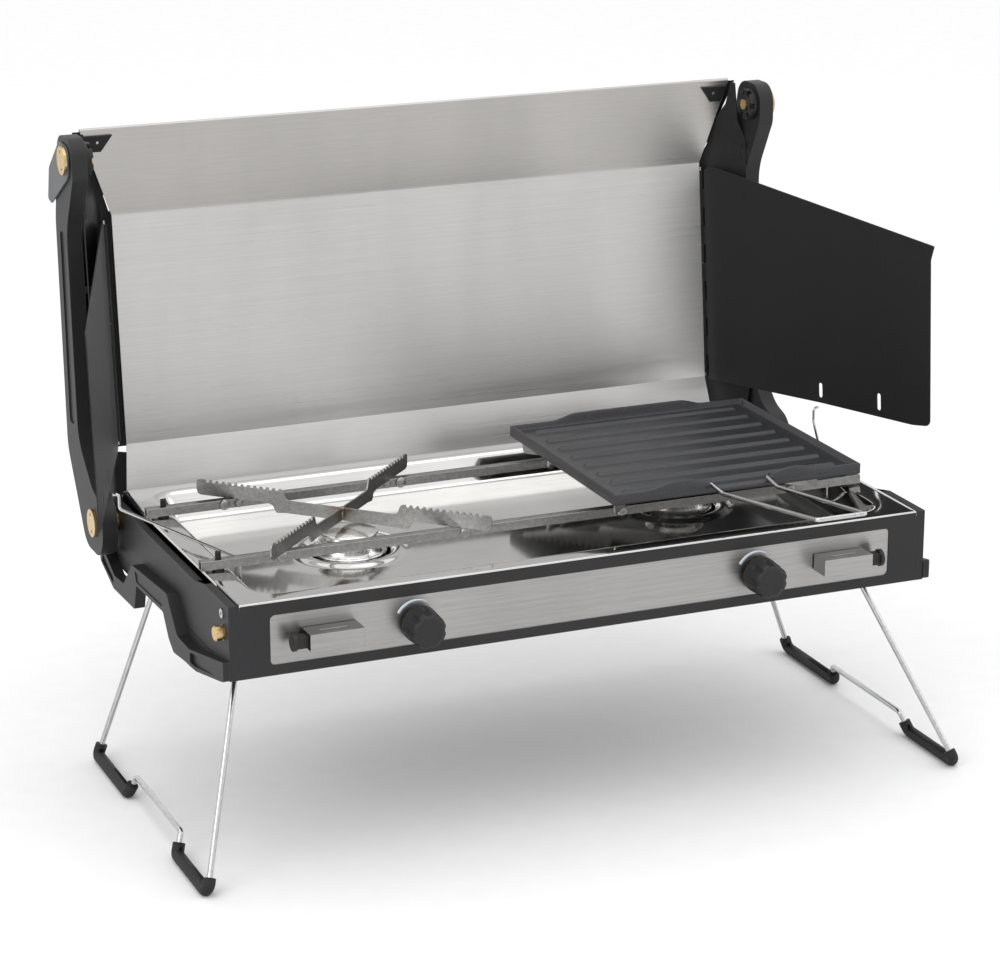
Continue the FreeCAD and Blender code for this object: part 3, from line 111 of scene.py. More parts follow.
def grain_noise(nodes, links, stretch, detail=6.0, distortion=0.0):
    """A noise whose cells measure 1 / stretch metres along X, Y and Z."""
    place = nodes.new("ShaderNodeTexCoord")
    mapping = nodes.new("ShaderNodeMapping")
    mapping.inputs["Scale"].default_value = stretch
    noise = nodes.new("ShaderNodeTexNoise")
    noise.inputs["Scale"].default_value = 1.0
    noise.inputs["Detail"].default_value = detail
    noise.inputs["Distortion"].default_value = distortion
    links.new(place.outputs["Object"], mapping.inputs["Vector"])
    links.new(mapping.outputs["Vector"], noise.inputs["Vector"])
    return noise.outputs["Fac"]


def ranged(nodes, links, value, low, high, start=0.3, end=0.7):
    """Turn a 0 to 1 noise into a number between low and high."""
    remap = nodes.new("ShaderNodeMapRange")
    remap.inputs["From Min"].default_value = start
    remap.inputs["From Max"].default_value = end
    remap.inputs["To Min"].default_value = low
    remap.inputs["To Max"].default_value = high
    links.new(value, remap.inputs["Value"])
    return remap.outputs["Result"]


def shades(nodes, links, value, dark, light, start=0.3, end=0.7):
    """Turn a 0 to 1 noise into colours from dark to light."""
    ramp = nodes.new("ShaderNodeValToRGB")
    ramp.color_ramp.elements[0].position = start
    ramp.color_ramp.elements[1].position = end
    ramp.color_ramp.elements[0].color = (*dark, 1)
    ramp.color_ramp.elements[1].color = (*light, 1)
    links.new(value, ramp.inputs["Fac"])
    return ramp.outputs["Color"]


def blended(nodes, links, kind, share, first, second):
    """Mix two colours; share is a number or another node's output."""
    mix = nodes.new("ShaderNodeMix")
    mix.data_type = "RGBA"
    mix.blend_type = kind
    if isinstance(share, float):
        mix.inputs["Factor"].default_value = share
    else:
        links.new(share, mix.inputs["Factor"])
    links.new(first, mix.inputs["A"])
    links.new(second, mix.inputs["B"])
    return mix.outputs["Result"]


def relief(nodes, links, shader, value, depth, strength=1.0):
    """Shallow bumps, depth in metres."""
    bump = nodes.new("ShaderNodeBump")
    bump.inputs["Distance"].default_value = depth
    bump.inputs["Strength"].default_value = strength
    links.new(value, bump.inputs["Height"])
    links.new(bump.outputs["Normal"], shader.inputs["Normal"])


print("finish helpers ready")

# %% [markdown]
# ## Worn edges
#
# A coat rubs thin where hands and packing touch it, along every folded edge. The Bevel node rounds the
# shading normal near an edge only, so wherever it differs from the true normal there is an edge. Painting
# the wear by hand would show more control, but the node finds every edge of every piece by itself.


# %% Find the edges of a piece
def edge_wear(nodes, links, reach):
    """0 on flat metal and 1 on an edge, reach in metres."""
    rounding = nodes.new("ShaderNodeBevel")
    rounding.samples = 4
    rounding.inputs["Radius"].default_value = reach
    true_way = nodes.new("ShaderNodeNewGeometry")
    compare = nodes.new("ShaderNodeVectorMath")
    compare.operation = "DOT_PRODUCT"
    links.new(rounding.outputs["Normal"], compare.inputs[0])
    links.new(true_way.outputs["Normal"], compare.inputs[1])
    return ranged(nodes, links, compare.outputs["Value"], 1.0, 0.0, 0.80, 0.995)


print("edge finder ready")

# %% [markdown]
# ## Powder coat
#
# The case, side plates and windscreens are steel sheet under a fine textured powder coat. Powder melts into
# tiny rounded bumps, like orange peel, half a millimetre across. That is a noise with small even cells and a
# low relief. The charcoal coat of the case is a little lighter than the black of the screens, and both are
# lighter on edges.


# %% Make the two powder coats
def powder_coat(name, dark, light, worn, rough_low, rough_high):
    coat, nodes, links, shader = new_finish(name)
    peel = grain_noise(nodes, links, (1500, 1500, 1500), 3.0)
    cloud = grain_noise(nodes, links, (14, 14, 14), 3.0)
    base = blended(nodes, links, "MULTIPLY", 0.35, shades(nodes, links, peel, dark, light),
                   shades(nodes, links, cloud, (0.72, 0.72, 0.74), (1, 1, 1)))
    wear = edge_wear(nodes, links, 0.0009)
    rub = nodes.new("ShaderNodeRGB")
    rub.outputs[0].default_value = (*worn, 1)
    rubbed = nodes.new("ShaderNodeMath")
    rubbed.operation = "MULTIPLY"
    links.new(wear, rubbed.inputs[0])
    links.new(ranged(nodes, links, grain_noise(nodes, links, (90, 90, 90), 4.0), 0.1, 0.75), rubbed.inputs[1])
    links.new(blended(nodes, links, "MIX", rubbed.outputs["Value"], base, rub.outputs[0]),
              shader.inputs["Base Color"])
    links.new(ranged(nodes, links, peel, rough_low, rough_high), shader.inputs["Roughness"])
    relief(nodes, links, shader, peel, 0.00008, 0.6)
    shader.inputs["Specular IOR Level"].default_value = 0.32
    return coat


charcoal_coat = powder_coat("charcoal_powder_coat", (0.012, 0.012, 0.013), (0.024, 0.024, 0.026),
                            (0.075, 0.076, 0.080), 0.44, 0.60)
black_coat = powder_coat("black_powder_coat", (0.006, 0.006, 0.007), (0.014, 0.014, 0.015),
                         (0.055, 0.055, 0.058), 0.44, 0.58)
print("coats", charcoal_coat.name, black_coat.name)

# %% [markdown]
# ## Brushed stainless steel
#
# A belt drags thousands of fine scratches along the sheet in one direction. Stretching the noise hundreds of
# times further across X than along it gives that grain. The scratches also spread reflections sideways,
# which the anisotropic setting of the shader does. Two layers of grain, one long and faint and one short and
# sharp, keep the surface from looking like a printed pattern. On the lid, a step in height multiplies the
# upper band by a faint warm grey: painted shade, for the darker tone that the band gets from the light.


# %% Make brushed steels
# Soft edge, in metres, of the painted shade on the lid's upper band.
PAINTED_SHADE_FADE = 0.0015


def brushed_steel(name, dark, light, rough_low, rough_high, spread=0.55, depth=0.00002, painted_shade_from=None):
    steel, nodes, links, shader = new_finish(name)
    long_grain = grain_noise(nodes, links, (5, 900, 900), 4.0)
    short_grain = grain_noise(nodes, links, (40, 2600, 2600), 2.0)
    cloud = grain_noise(nodes, links, (11, 11, 3), 3.0, 0.4)
    streaks = blended(nodes, links, "MIX", 0.45, shades(nodes, links, long_grain, dark, light),
                      shades(nodes, links, short_grain, dark, light))
    handling = shades(nodes, links, cloud, (0.80, 0.80, 0.81), (1, 1, 1))
    colour = blended(nodes, links, "MULTIPLY", 0.5, streaks, handling)
    # Painted shade: above the given height the colour is multiplied by a faint warm grey, darkening the lid's
    # upper band.
    if painted_shade_from is not None:
        place = nodes.new("ShaderNodeTexCoord")
        parts = nodes.new("ShaderNodeSeparateXYZ")
        links.new(place.outputs["Object"], parts.inputs["Vector"])
        above = ranged(nodes, links, parts.outputs["Z"], 0.0, 1.0,
                       painted_shade_from - PAINTED_SHADE_FADE, painted_shade_from + PAINTED_SHADE_FADE)
        painted_band_shade = shades(nodes, links, above, (1, 1, 1), (0.80, 0.78, 0.765), 0.0, 1.0)
        colour = blended(nodes, links, "MULTIPLY", 1.0, colour, painted_band_shade)
    links.new(colour, shader.inputs["Base Color"])
    links.new(ranged(nodes, links, long_grain, rough_low, rough_high), shader.inputs["Roughness"])
    relief(nodes, links, shader, short_grain, depth, 0.5)
    shader.inputs["Metallic"].default_value = 1.0
    shader.inputs["Anisotropic"].default_value = spread
    shader.inputs["Anisotropic Rotation"].default_value = 0.25
    tangent = nodes.new("ShaderNodeTangent")
    tangent.direction_type = "RADIAL"
    tangent.axis = "Z"
    links.new(tangent.outputs["Tangent"], shader.inputs["Tangent"])
    return steel


# The lid's steel gets its painted shade above the upper bend.
upper_bend = spot(0, 0, 300.1).z
lid_steel = brushed_steel("brushed_lid_steel", (0.55, 0.545, 0.535), (0.645, 0.64, 0.63), 0.27, 0.36,
                          painted_shade_from=upper_bend)
fascia_steel = brushed_steel("brushed_fascia_steel", (0.32, 0.31, 0.30), (0.45, 0.44, 0.43), 0.30, 0.42)
tray_steel = brushed_steel("drawn_tray_steel", (0.60, 0.595, 0.585), (0.74, 0.735, 0.725), 0.06, 0.11,
                           spread=0.3, depth=0.00001)
print("steels", lid_steel.name, fascia_steel.name, tray_steel.name)

# %% [markdown]
# ## Bare support steel
#
# The rails and pot supports are plain steel that gets hot. Their grey is uneven, with small dark pits, and
# near the weld in the middle of each cross heat has left a straw and brown tint. The tint is a soft ball of
# colour around each weld: the distance from that point, turned into a ramp.

# %% Make the support steel with its heat tint
cross_middles = []
for side in ("left", "right"):
    low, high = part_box(f"pot_cross_{side}")
    cross_middles.append((low + high) / 2)


def near_point(nodes, links, point, reach):
    """1 at the point, falling to 0 at reach metres."""
    place = nodes.new("ShaderNodeTexCoord")
    gap = nodes.new("ShaderNodeVectorMath")
    gap.operation = "DISTANCE"
    gap.inputs[1].default_value = point
    links.new(place.outputs["Object"], gap.inputs[0])
    return ranged(nodes, links, gap.outputs["Value"], 1.0, 0.0, 0.0, reach)


def hot_steel(name, dark, light, rough_low, rough_high):
    steel, nodes, links, shader = new_finish(name)
    mill = grain_noise(nodes, links, (260, 260, 420), 5.0)
    pits = grain_noise(nodes, links, (700, 700, 700), 2.0)
    base = blended(nodes, links, "MULTIPLY", 0.5, shades(nodes, links, mill, dark, light),
                   shades(nodes, links, pits, (0.62, 0.62, 0.62), (1, 1, 1), 0.28, 0.48))
    for point in cross_middles:
        heat = near_point(nodes, links, point, 0.016)
        straw = shades(nodes, links, mill, (0.16, 0.115, 0.080), (0.30, 0.24, 0.18))
        base = blended(nodes, links, "MIX", heat, base, straw)
    links.new(base, shader.inputs["Base Color"])
    links.new(ranged(nodes, links, pits, rough_high, rough_low), shader.inputs["Roughness"])
    relief(nodes, links, shader, pits, 0.00005, 0.5)
    shader.inputs["Metallic"].default_value = 1.0
    return steel


support_steel = hot_steel("hot_rolled_support_steel", (0.27, 0.268, 0.26), (0.37, 0.367, 0.36), 0.28, 0.42)
print("weld points", [tuple(round(v, 3) for v in p) for p in cross_middles])

# %% [markdown]
# ## Plated wire, brass, rubber and plastics
#
# Small parts still need their own surface. Plated wire is bright with faint drawing marks. Brass is turned,
# with a warm satin face. Rubber is matt and dusty, and moulded plastic has a spark-eroded grain finer than
# the powder coat. A table of numbers and one loop would be shorter, but a function for metals and one for
# the others reads better.


# %% Make the small parts' finishes
def small_metal(name, dark, light, rough_low, rough_high, cell):
    metal, nodes, links, shader = new_finish(name)
    marks = grain_noise(nodes, links, cell, 4.0)
    haze = grain_noise(nodes, links, (60, 60, 60), 3.0)
    links.new(blended(nodes, links, "MULTIPLY", 0.4, shades(nodes, links, marks, dark, light),
                      shades(nodes, links, haze, (0.8, 0.8, 0.8), (1, 1, 1))), shader.inputs["Base Color"])
    links.new(ranged(nodes, links, haze, rough_low, rough_high), shader.inputs["Roughness"])
    relief(nodes, links, shader, marks, 0.00002, 0.3)
    shader.inputs["Metallic"].default_value = 1.0
    return metal


def moulded(name, dark, light, rough_low, rough_high, cell, depth, worn):
    plastic, nodes, links, shader = new_finish(name)
    erosion = grain_noise(nodes, links, (cell, cell, cell), 4.0)
    cloud = grain_noise(nodes, links, (25, 25, 25), 3.0)
    base = blended(nodes, links, "MULTIPLY", 0.4, shades(nodes, links, erosion, dark, light),
                   shades(nodes, links, cloud, (0.75, 0.75, 0.76), (1, 1, 1)))
    rub = nodes.new("ShaderNodeRGB")
    rub.outputs[0].default_value = (*worn, 1)
    links.new(blended(nodes, links, "MIX", edge_wear(nodes, links, 0.0008), base, rub.outputs[0]),
              shader.inputs["Base Color"])
    links.new(ranged(nodes, links, erosion, rough_low, rough_high), shader.inputs["Roughness"])
    relief(nodes, links, shader, erosion, depth, 0.6)
    shader.inputs["Specular IOR Level"].default_value = 0.34
    return plastic


wire_chrome = small_metal("plated_wire", (0.46, 0.46, 0.46), (0.62, 0.62, 0.62), 0.10, 0.20, (900, 900, 60))
brass = small_metal("turned_brass", (0.52, 0.36, 0.16), (0.72, 0.52, 0.26), 0.22, 0.34, (1400, 300, 1400))
burner_alloy = small_metal("bright_burner_alloy", (0.58, 0.575, 0.56), (0.76, 0.755, 0.74), 0.18, 0.30,
                           (500, 500, 900))
rubber = moulded("sleeve_rubber", (0.007, 0.007, 0.007), (0.016, 0.016, 0.016), 0.52, 0.72, 900, 0.00006,
                 (0.03, 0.03, 0.03))
black_plastic = moulded("black_moulded_plastic", (0.009, 0.009, 0.010), (0.020, 0.020, 0.021), 0.42, 0.58,
                        1600, 0.00006, (0.045, 0.045, 0.047))
grey_plastic = moulded("grey_moulded_plastic", (0.085, 0.087, 0.090), (0.12, 0.122, 0.126), 0.42, 0.56, 1600,
                       0.00006, (0.17, 0.17, 0.175))
print("small finishes ready")

# %% [markdown]
# ## Non-stick coat of the griddle
#
# A cast griddle is sprayed with a dark satin coat that dries with fine speckles. Voronoi cells half a
# millimetre apart make the speckle, and a slower noise dulls and polishes it in patches.


# %% Make the griddle's coat
def speckled_coat(name):
    coat, nodes, links, shader = new_finish(name)
    place = nodes.new("ShaderNodeTexCoord")
    cells = nodes.new("ShaderNodeTexVoronoi")
    cells.inputs["Scale"].default_value = 900
    links.new(place.outputs["Object"], cells.inputs["Vector"])
    speckle = cells.outputs["Distance"]
    skin = grain_noise(nodes, links, (500, 500, 500), 4.0)
    patch = grain_noise(nodes, links, (30, 30, 30), 3.0)
    base = blended(nodes, links, "MIX", ranged(nodes, links, speckle, 0.45, 0.0, 0.05, 0.25),
                   shades(nodes, links, skin, (0.014, 0.014, 0.016), (0.028, 0.029, 0.032)),
                   shades(nodes, links, patch, (0.06, 0.06, 0.066), (0.11, 0.11, 0.118)))
    links.new(base, shader.inputs["Base Color"])
    links.new(ranged(nodes, links, patch, 0.30, 0.42), shader.inputs["Roughness"])
    relief(nodes, links, shader, skin, 0.00014, 0.6)
    return coat


griddle_coat = speckled_coat("speckled_griddle_coat")
print("griddle coat ready")

# %% [markdown]
# ## Printed flow marks
#
# Around each knob the fascia carries a pale printed arc that fades out, to show the flame from high to low.
# Ink on steel is slightly satin, with a faint dot structure.


# %% Make the printed ink
def print_ink(name):
    ink, nodes, links, shader = new_finish(name)
    dots = grain_noise(nodes, links, (2200, 2200, 2200), 2.0)
    links.new(shades(nodes, links, dots, (0.52, 0.58, 0.64), (0.66, 0.72, 0.78)), shader.inputs["Base Color"])
    links.new(ranged(nodes, links, dots, 0.40, 0.55), shader.inputs["Roughness"])
    relief(nodes, links, shader, dots, 0.00001, 0.4)
    return ink


mark_ink = print_ink("pale_print_ink")
print("ink ready")

# %% [markdown]
# ## Give the CAD pieces their finishes
#
# Each CAD piece keeps its shape. It gets the finish of its material slot, and its edges get a small
# rounding, because no folded or moulded edge is perfectly sharp, and a rounded edge catches a line of light.
# Welding the split vertices first lets the rounding see which faces meet.

# %% Dress the CAD pieces
slot_finish = {
    "charcoal_coat": charcoal_coat,
    "black_coat": black_coat,
    "stainless": fascia_steel,
    "tray_steel": tray_steel,
    "support_steel": support_steel,
    "wire_chrome": wire_chrome,
    "brass": brass,
    "rubber": rubber,
    "black_plastic": black_plastic,
    "grey_plastic": grey_plastic,
    "griddle_coat": griddle_coat,
    "burner_alloy": burner_alloy,
}
node_slot = {row["node"]: row["material_slot"] for row in frame["record"]["subparts"]}
edge_rounding = {
    "bumper_left": 1.0,
    "bumper_right": 1.0,
    "lid_arm_left": 1.6,
    "lid_arm_right": 1.6,
    "handle_slat": 0.8,
    "front_panel": 0.25,
    "side_panel_left": 0.25,
    "side_panel_right": 0.25,
    "igniter_bracket_left": 0.6,
    "igniter_bracket_right": 0.6,
    "windscreen_left": 0.2,
    "windscreen_right": 0.2,
    "pan_rails": 0.5,
    "lid_hinge_discs": 0.4,
    "handle_hinge_discs": 0.4,
    "gas_inlet": 0.3,
    "igniter_button_left": 0.5,
    "igniter_button_right": 0.5,
    "gas_valves": 0.2,
    "handle_plate_left": 0.4,
    "handle_plate_right": 0.4,
    "handle_knuckles": 0.5,
}
tube_like = ("leg_wire", "foot_sleeves", "griddle_handle", "brace_wire", "screen_rods")
USUAL_ROUNDING = 0.2
WELD_REACH = 0.00002


def soften_edges(piece, width, segments=2, angle=32):
    """Round every edge sharper than the angle, in degrees, by a width in millimetres."""
    rounding = piece.modifiers.new("edge rounding", "BEVEL")
    rounding.width = width * MM
    rounding.segments = segments
    rounding.limit_method = "ANGLE"
    rounding.angle_limit = math.radians(angle)
    rounding.harden_normals = True


def dress(name, piece):
    piece.data.materials.clear()
    piece.data.materials.append(slot_finish[node_slot[name]])
    if "custom_normal" in piece.data.attributes:
        piece.data.attributes.remove(piece.data.attributes["custom_normal"])
    piece.data.shade_smooth()
    weld = piece.modifiers.new("weld", "WELD")
    weld.merge_threshold = WELD_REACH
    if not name.startswith(tube_like):
        soften_edges(piece, edge_rounding.get(name, USUAL_ROUNDING))


for name, piece in frame["nodes"].items():
    dress(name, piece)
print("dressed", len(frame["nodes"]), "CAD pieces")

# %% [markdown]
# ## A way to make sheet pieces
#
# Several pieces are pressed or bent sheet. Each one is a grid of points, placed row by row, then given its
# real thickness with a Solidify modifier. Sculpting would be freer, but a grid follows measured bends
# exactly.


# %% Build a grid of points into a piece
def sheet_from_rows(name, rows, finish, body, keep=None):
    """rows: lists of points of equal length. keep(a, b, c, d) says whether a face stays."""
    mesh = bmesh.new()
    made = [[mesh.verts.new(p) for p in row] for row in rows]
    for upper, lower in zip(made, made[1:]):
        for k in range(len(upper) - 1):
            corner = (upper[k], upper[k + 1], lower[k + 1], lower[k])
            if keep is None or keep([v.co for v in corner]):
                mesh.faces.new(corner)
    loose = [v for v in mesh.verts if not v.link_faces]
    bmesh.ops.delete(mesh, geom=loose, context="VERTS")
    bmesh.ops.recalc_face_normals(mesh, faces=mesh.faces)
    if sum(f.normal.z * f.calc_area() for f in mesh.faces) < 0:
        bmesh.ops.reverse_faces(mesh, faces=mesh.faces)
    return piece_from(mesh, name, finish, body)


def piece_from(mesh, name, finish, body):
    """Turn a bmesh into an object that rides on a body of the frame."""
    data = bpy.data.meshes.new(name)
    mesh.to_mesh(data)
    mesh.free()
    data.materials.append(finish)
    data.shade_smooth()
    piece = bpy.data.objects.new(name, data)
    bpy.context.scene.collection.objects.link(piece)
    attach(piece, body)
    return piece


def thicken(piece, thickness, offset):
    """Offset -1 grows the sheet to its back, 0 to both sides."""
    solid = piece.modifiers.new("sheet thickness", "SOLIDIFY")
    solid.thickness = thickness * MM
    solid.offset = offset


def steps(start, end, step):
    """Evenly spaced numbers from start to end, no further apart than step."""
    count = max(1, math.ceil(abs(end - start) / step))
    return [start + (end - start) * k / count for k in range(count + 1)]


def joined_steps(*runs):
    """Several (start, end, step) runs as one rising list."""
    values = []
    for run in runs:
        values += steps(*run)
    return sorted(set(round(v, 4) for v in values))


print("sheet helpers ready")

# %% [markdown]
# ## The drip tray
#
# The tray is one drawn sheet: a flat rim, sloping walls with soft shoulders, a floor, and a raised collar
# around each burner opening. Drawing steel over a die always leaves rounded bends, so the heights come from
# smooth ramps. The tray's reflections of the burners depend on these bends more than on its material.

# %% Shape the drip tray
TRAY_DEEP = 24.7
SUNK_HALF_X, SUNK_HALF_Y, SUNK_CORNER, WALL_RUN = 289.0, 145.0, 24.0, 14.0
SUNK_MIDDLE_Y = 163.0
burner_spots = [((low.x + high.x) / 2 / MM, ((low.y + high.y) / 2 - front_face) / MM)
                for low, high in (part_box("burner_left"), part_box("burner_right"))]
COLLAR_OUT, COLLAR_TOP_OUT, COLLAR_TOP_IN, OPENING = 52.0, 46.5, 41.0, 37.0
COLLAR_RISE, COLLAR_FALL = 3.0, 4.2


def soft_ramp(t, softness):
    """0 before 0, 1 after 1, with rounded shoulders."""
    return (math.hypot(t, softness) - math.hypot(t - 1, softness) + 1) / 2


def inside_rounded(x, y, half_x, half_y, corner):
    """How far a point lies inside a rounded rectangle, negative outside."""
    away_x = abs(x) - (half_x - corner)
    away_y = abs(y) - (half_y - corner)
    outside = math.hypot(max(away_x, 0), max(away_y, 0))
    return corner - outside - min(max(away_x, away_y), 0)


def tray_height(x, y):
    inside = inside_rounded(x, y - SUNK_MIDDLE_Y, SUNK_HALF_X, SUNK_HALF_Y, SUNK_CORNER)
    height = rim_height - TRAY_DEEP * soft_ramp(inside / WALL_RUN, 0.16)
    for cx, cy in burner_spots:
        r = math.hypot(x - cx, y - cy)
        if r < COLLAR_OUT + 6:
            height += COLLAR_RISE * soft_ramp((COLLAR_OUT - r) / (COLLAR_OUT - COLLAR_TOP_OUT), 0.25)
            height -= COLLAR_FALL * soft_ramp((COLLAR_TOP_IN - r) / (COLLAR_TOP_IN - OPENING), 0.25)
    return height


lines_x = joined_steps((0, 96, 8), (96, 218, 1.7), (218, 268, 6), (268, 294, 1.0), (294, 310, 4))
lines_x = sorted(set([-v for v in lines_x] + lines_x))
lines_y = joined_steps((1, 12, 4), (12, 36, 1.0), (36, 108, 6), (108, 219, 1.7), (219, 290, 6),
                       (290, 314, 1.0), (314, 325, 4))
EDGE_X = 311.2
side_fold = [(EDGE_X, 3.0), (EDGE_X, 1.0), (EDGE_X - 0.4, 0.25)]
across = [(-x, drop) for x, drop in side_fold] + [(x, 0) for x in lines_x]
across += [(x, drop) for x, drop in side_fold[::-1]]
front_fold = [(-0.75, 1.7), (-0.75, 0.8), (-0.4, 0.2)]
rear_fold = [(325.6, 0.2), (326.0, 0.9), (326.0, 8.0)]
deep = front_fold + [(y, 0) for y in lines_y] + rear_fold


def tray_point(x, y, drop):
    for cx, cy in burner_spots:
        r = math.hypot(x - cx, y - cy)
        if 0.1 < r < OPENING:
            x = cx + (x - cx) * OPENING / r
            y = cy + (y - cy) * OPENING / r
    return spot(x, y, tray_height(x, y) - drop)


def outside_openings(corners):
    """Keep a face unless it has shrunk onto an opening's edge."""
    middle = sum(corners, Vector()) / 4
    for cx, cy in burner_spots:
        if (middle - spot(cx, cy, 0)).xy.length < (OPENING - 0.05) * MM:
            return False
    return True


tray_rows = [[tray_point(x, y, drop_y + drop_x) for x, drop_x in across] for y, drop_y in deep]
tray = sheet_from_rows("pressed_drip_tray", tray_rows, tray_steel, "case", outside_openings)
thicken(tray, 0.7, -1.0)
soften_edges(tray, 0.15, 1)
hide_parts("drip_tray")
print("tray faces", len(tray.data.polygons))

# %% [markdown]
# ## The lid
#
# The lid is one wide sheet with two bends, so that it wraps over the case when shut. In section it is three
# straight runs joined by arcs, and its upper edge is rolled into a hem that can't cut. The section is swept
# across the width, and the upper run grows wider towards the hem.

# %% Shape the lid's section
LEAN = math.radians(5.8)
BAND = math.radians(18.5)
MAIN_RUN, TOP_RUN, LOW_RUN, BEND_RADIUS = 212.4, 79.0, 78.0, 14.0
HEM_RADIUS, HEM_TURN, HEM_STEPS = 1.7, math.pi * 1.6, 12
lid_up = Vector((0, math.sin(LEAN), math.cos(LEAN)))
lid_out = Vector((0, -math.cos(LEAN), math.sin(LEAN)))
lid_bend = spot(0, 387.0, 88.8)


def on_lid(x, out, up):
    """A place on the lid: across, in front of its main face, and up from its lower bend, in millimetres."""
    return lid_bend + Vector((x * MM, 0, 0)) + lid_out * out * MM + lid_up * up * MM


def rounded_run(points, radius, arc_steps=8):
    """An open line in two dimensions with its inner corners rounded."""
    line = [Vector(points[0])]
    for before, at, after in zip(points, points[1:], points[2:]):
        at = Vector(at)
        back = (Vector(before) - at).normalized()
        ahead = (Vector(after) - at).normalized()
        half = back.angle(ahead) / 2
        reach = radius / math.tan(half)
        centre = at + (back + ahead).normalized() * radius / math.sin(half)
        start = at + back * reach - centre
        end = at + ahead * reach - centre
        for k in range(arc_steps + 1):
            line.append(centre + start.slerp(end, k / arc_steps))
    return line + [Vector(points[-1])]


low_end = (LOW_RUN * math.sin(BAND), -LOW_RUN * math.cos(BAND))
top_end = (TOP_RUN * math.sin(BAND), MAIN_RUN + TOP_RUN * math.cos(BAND))
section = rounded_run([low_end, (0, 0), (0, MAIN_RUN), top_end], BEND_RADIUS)
hem_way = (Vector(top_end) - Vector((0, MAIN_RUN))).normalized()
hem_back = Vector((-hem_way.y, hem_way.x))
for k in range(1, HEM_STEPS + 1):
    turn = HEM_TURN * k / HEM_STEPS
    roll = hem_way * math.sin(turn) * HEM_RADIUS + hem_back * (1 - math.cos(turn)) * HEM_RADIUS
    section.append(Vector(top_end) + roll)
print("lid section points", len(section))

# %% Sweep the lid across its width
FACE_HALF, HEM_HALF, LOW_HALF = 291.6, 318.7, 299.8


def lid_half_width(up):
    if up > MAIN_RUN:
        share = min(1, (up - MAIN_RUN) / (TOP_RUN * math.cos(BAND)))
        return FACE_HALF + (HEM_HALF - FACE_HALF) * share
    if up < 0:
        return FACE_HALF + (LOW_HALF - FACE_HALF) * min(1, -up / (LOW_RUN * math.cos(BAND)))
    return FACE_HALF


shares = steps(-1, 1, 0.04)
lid_rows = [[on_lid(s * lid_half_width(p.y), p.x, p.y) for s in shares] for p in section]
lid = sheet_from_rows("bent_lid_sheet", lid_rows, lid_steel, "lid")
thicken(lid, 0.8, 0.0)
soften_edges(lid, 0.2)
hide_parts("lid_panel")
print("lid faces", len(lid.data.polygons))

# %% [markdown]
# ## The lid's black edge strips
#
# Between the upper band and each black side plate runs a narrow folded strip that closes the gap against the
# wind. It lies in the plane of the band, so it is a grid of two columns along the band's edge.

# %% Close the gap beside the upper band
for side, way in (("left", -1), ("right", 1)):
    rows = []
    for t in steps(-0.08, 1.0, 0.09):
        up = MAIN_RUN + TOP_RUN * math.cos(BAND) * t
        out = TOP_RUN * math.sin(BAND) * max(t, 0)
        half = lid_half_width(up)
        rows.append([on_lid(way * (half + reach), out - 0.7, up) for reach in (-1.5, 7.0)])
    strip = sheet_from_rows(f"lid_edge_strip_{side}", rows, black_coat, "lid")
    thicken(strip, 0.8, 0.0)
    soften_edges(strip, 0.2)
print("edge strips in place")

# %% [markdown]
# ## The griddle
#
# A cast griddle has a draft on its ribs and rounds everywhere, because metal has to leave the mould. Its top
# is a height for each point: a floor, a rounded rim, long ribs with round ends, and low walls at front and
# back that keep food on. The sides and the underside close it.

# %% Shape the griddle's top
griddle_low, griddle_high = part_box("griddle_plate")
griddle_middle = (griddle_low + griddle_high) / 2
HALF_X, HALF_Y = 119.4, 113.2
FLOOR_UP, RIM_UP, WALL_UP = 5.0, 10.0, 15.3
RIB_REACH, RIB_HALF, RIB_UP = 103.4, 3.2, 2.9
RIB_COUNT = 8
rib_lines = [-95.2 + 190.4 * k / (RIB_COUNT - 1) for k in range(RIB_COUNT)]


def swell(x, start, end, slope):
    """1 between start and end, with sloping ends."""
    return soft_ramp((x - start) / slope, 0.2) * soft_ramp((end - x) / slope, 0.2)


def rim_up(x, y):
    """Height of the rim where (x, y) is nearest to it."""
    up = RIM_UP
    if y < -HALF_Y + 8:
        walls = max(swell(x, -83.5, -27.0, 18), swell(x, 30.0, 79.0, 18))
        up += (WALL_UP - RIM_UP) * walls
        up -= 6.3 * swell(x, -28.0, 30.5, 1.2)
    if y > HALF_Y - 8:
        up += (WALL_UP - RIM_UP) * swell(x, -74, 72, 16)
    return up


def griddle_height(x, y):
    inside = min(HALF_X - abs(x), HALF_Y - abs(y))
    top = rim_up(x, y)
    height = FLOOR_UP + (top - FLOOR_UP) * (1 - soft_ramp((inside - 2.4) / 2.2, 0.25))
    height -= 1.2 * (1 - soft_ramp(inside / 1.2, 0.3))
    for line in rib_lines:
        beyond = max(abs(x) - (RIB_REACH - RIB_HALF), 0)
        r = math.hypot(beyond, y - line)
        if r < RIB_HALF + 3:
            height += RIB_UP * soft_ramp((RIB_HALF + 0.6 - r) / 2.6, 0.28)
    return height


grid_x = joined_steps((0, 24, 6), (24, 34, 0.8), (34, 60, 6), (60, 84, 2.5), (84, 96, 3), (96, 110, 1.2),
                      (110, 119.4, 0.7))
grid_x = sorted(set([-v for v in grid_x] + grid_x))
grid_y = joined_steps((0, 106, 0.9), (106, 113.2, 0.6))
grid_y = sorted(set([-v for v in grid_y] + grid_y))


def griddle_point(x, y, up):
    return Vector((griddle_middle.x + x * MM, griddle_middle.y + y * MM, griddle_low.z + up * MM))


def skirt(row_end, up):
    return [Vector((p.x, p.y, griddle_low.z + up * MM)) for p in row_end]


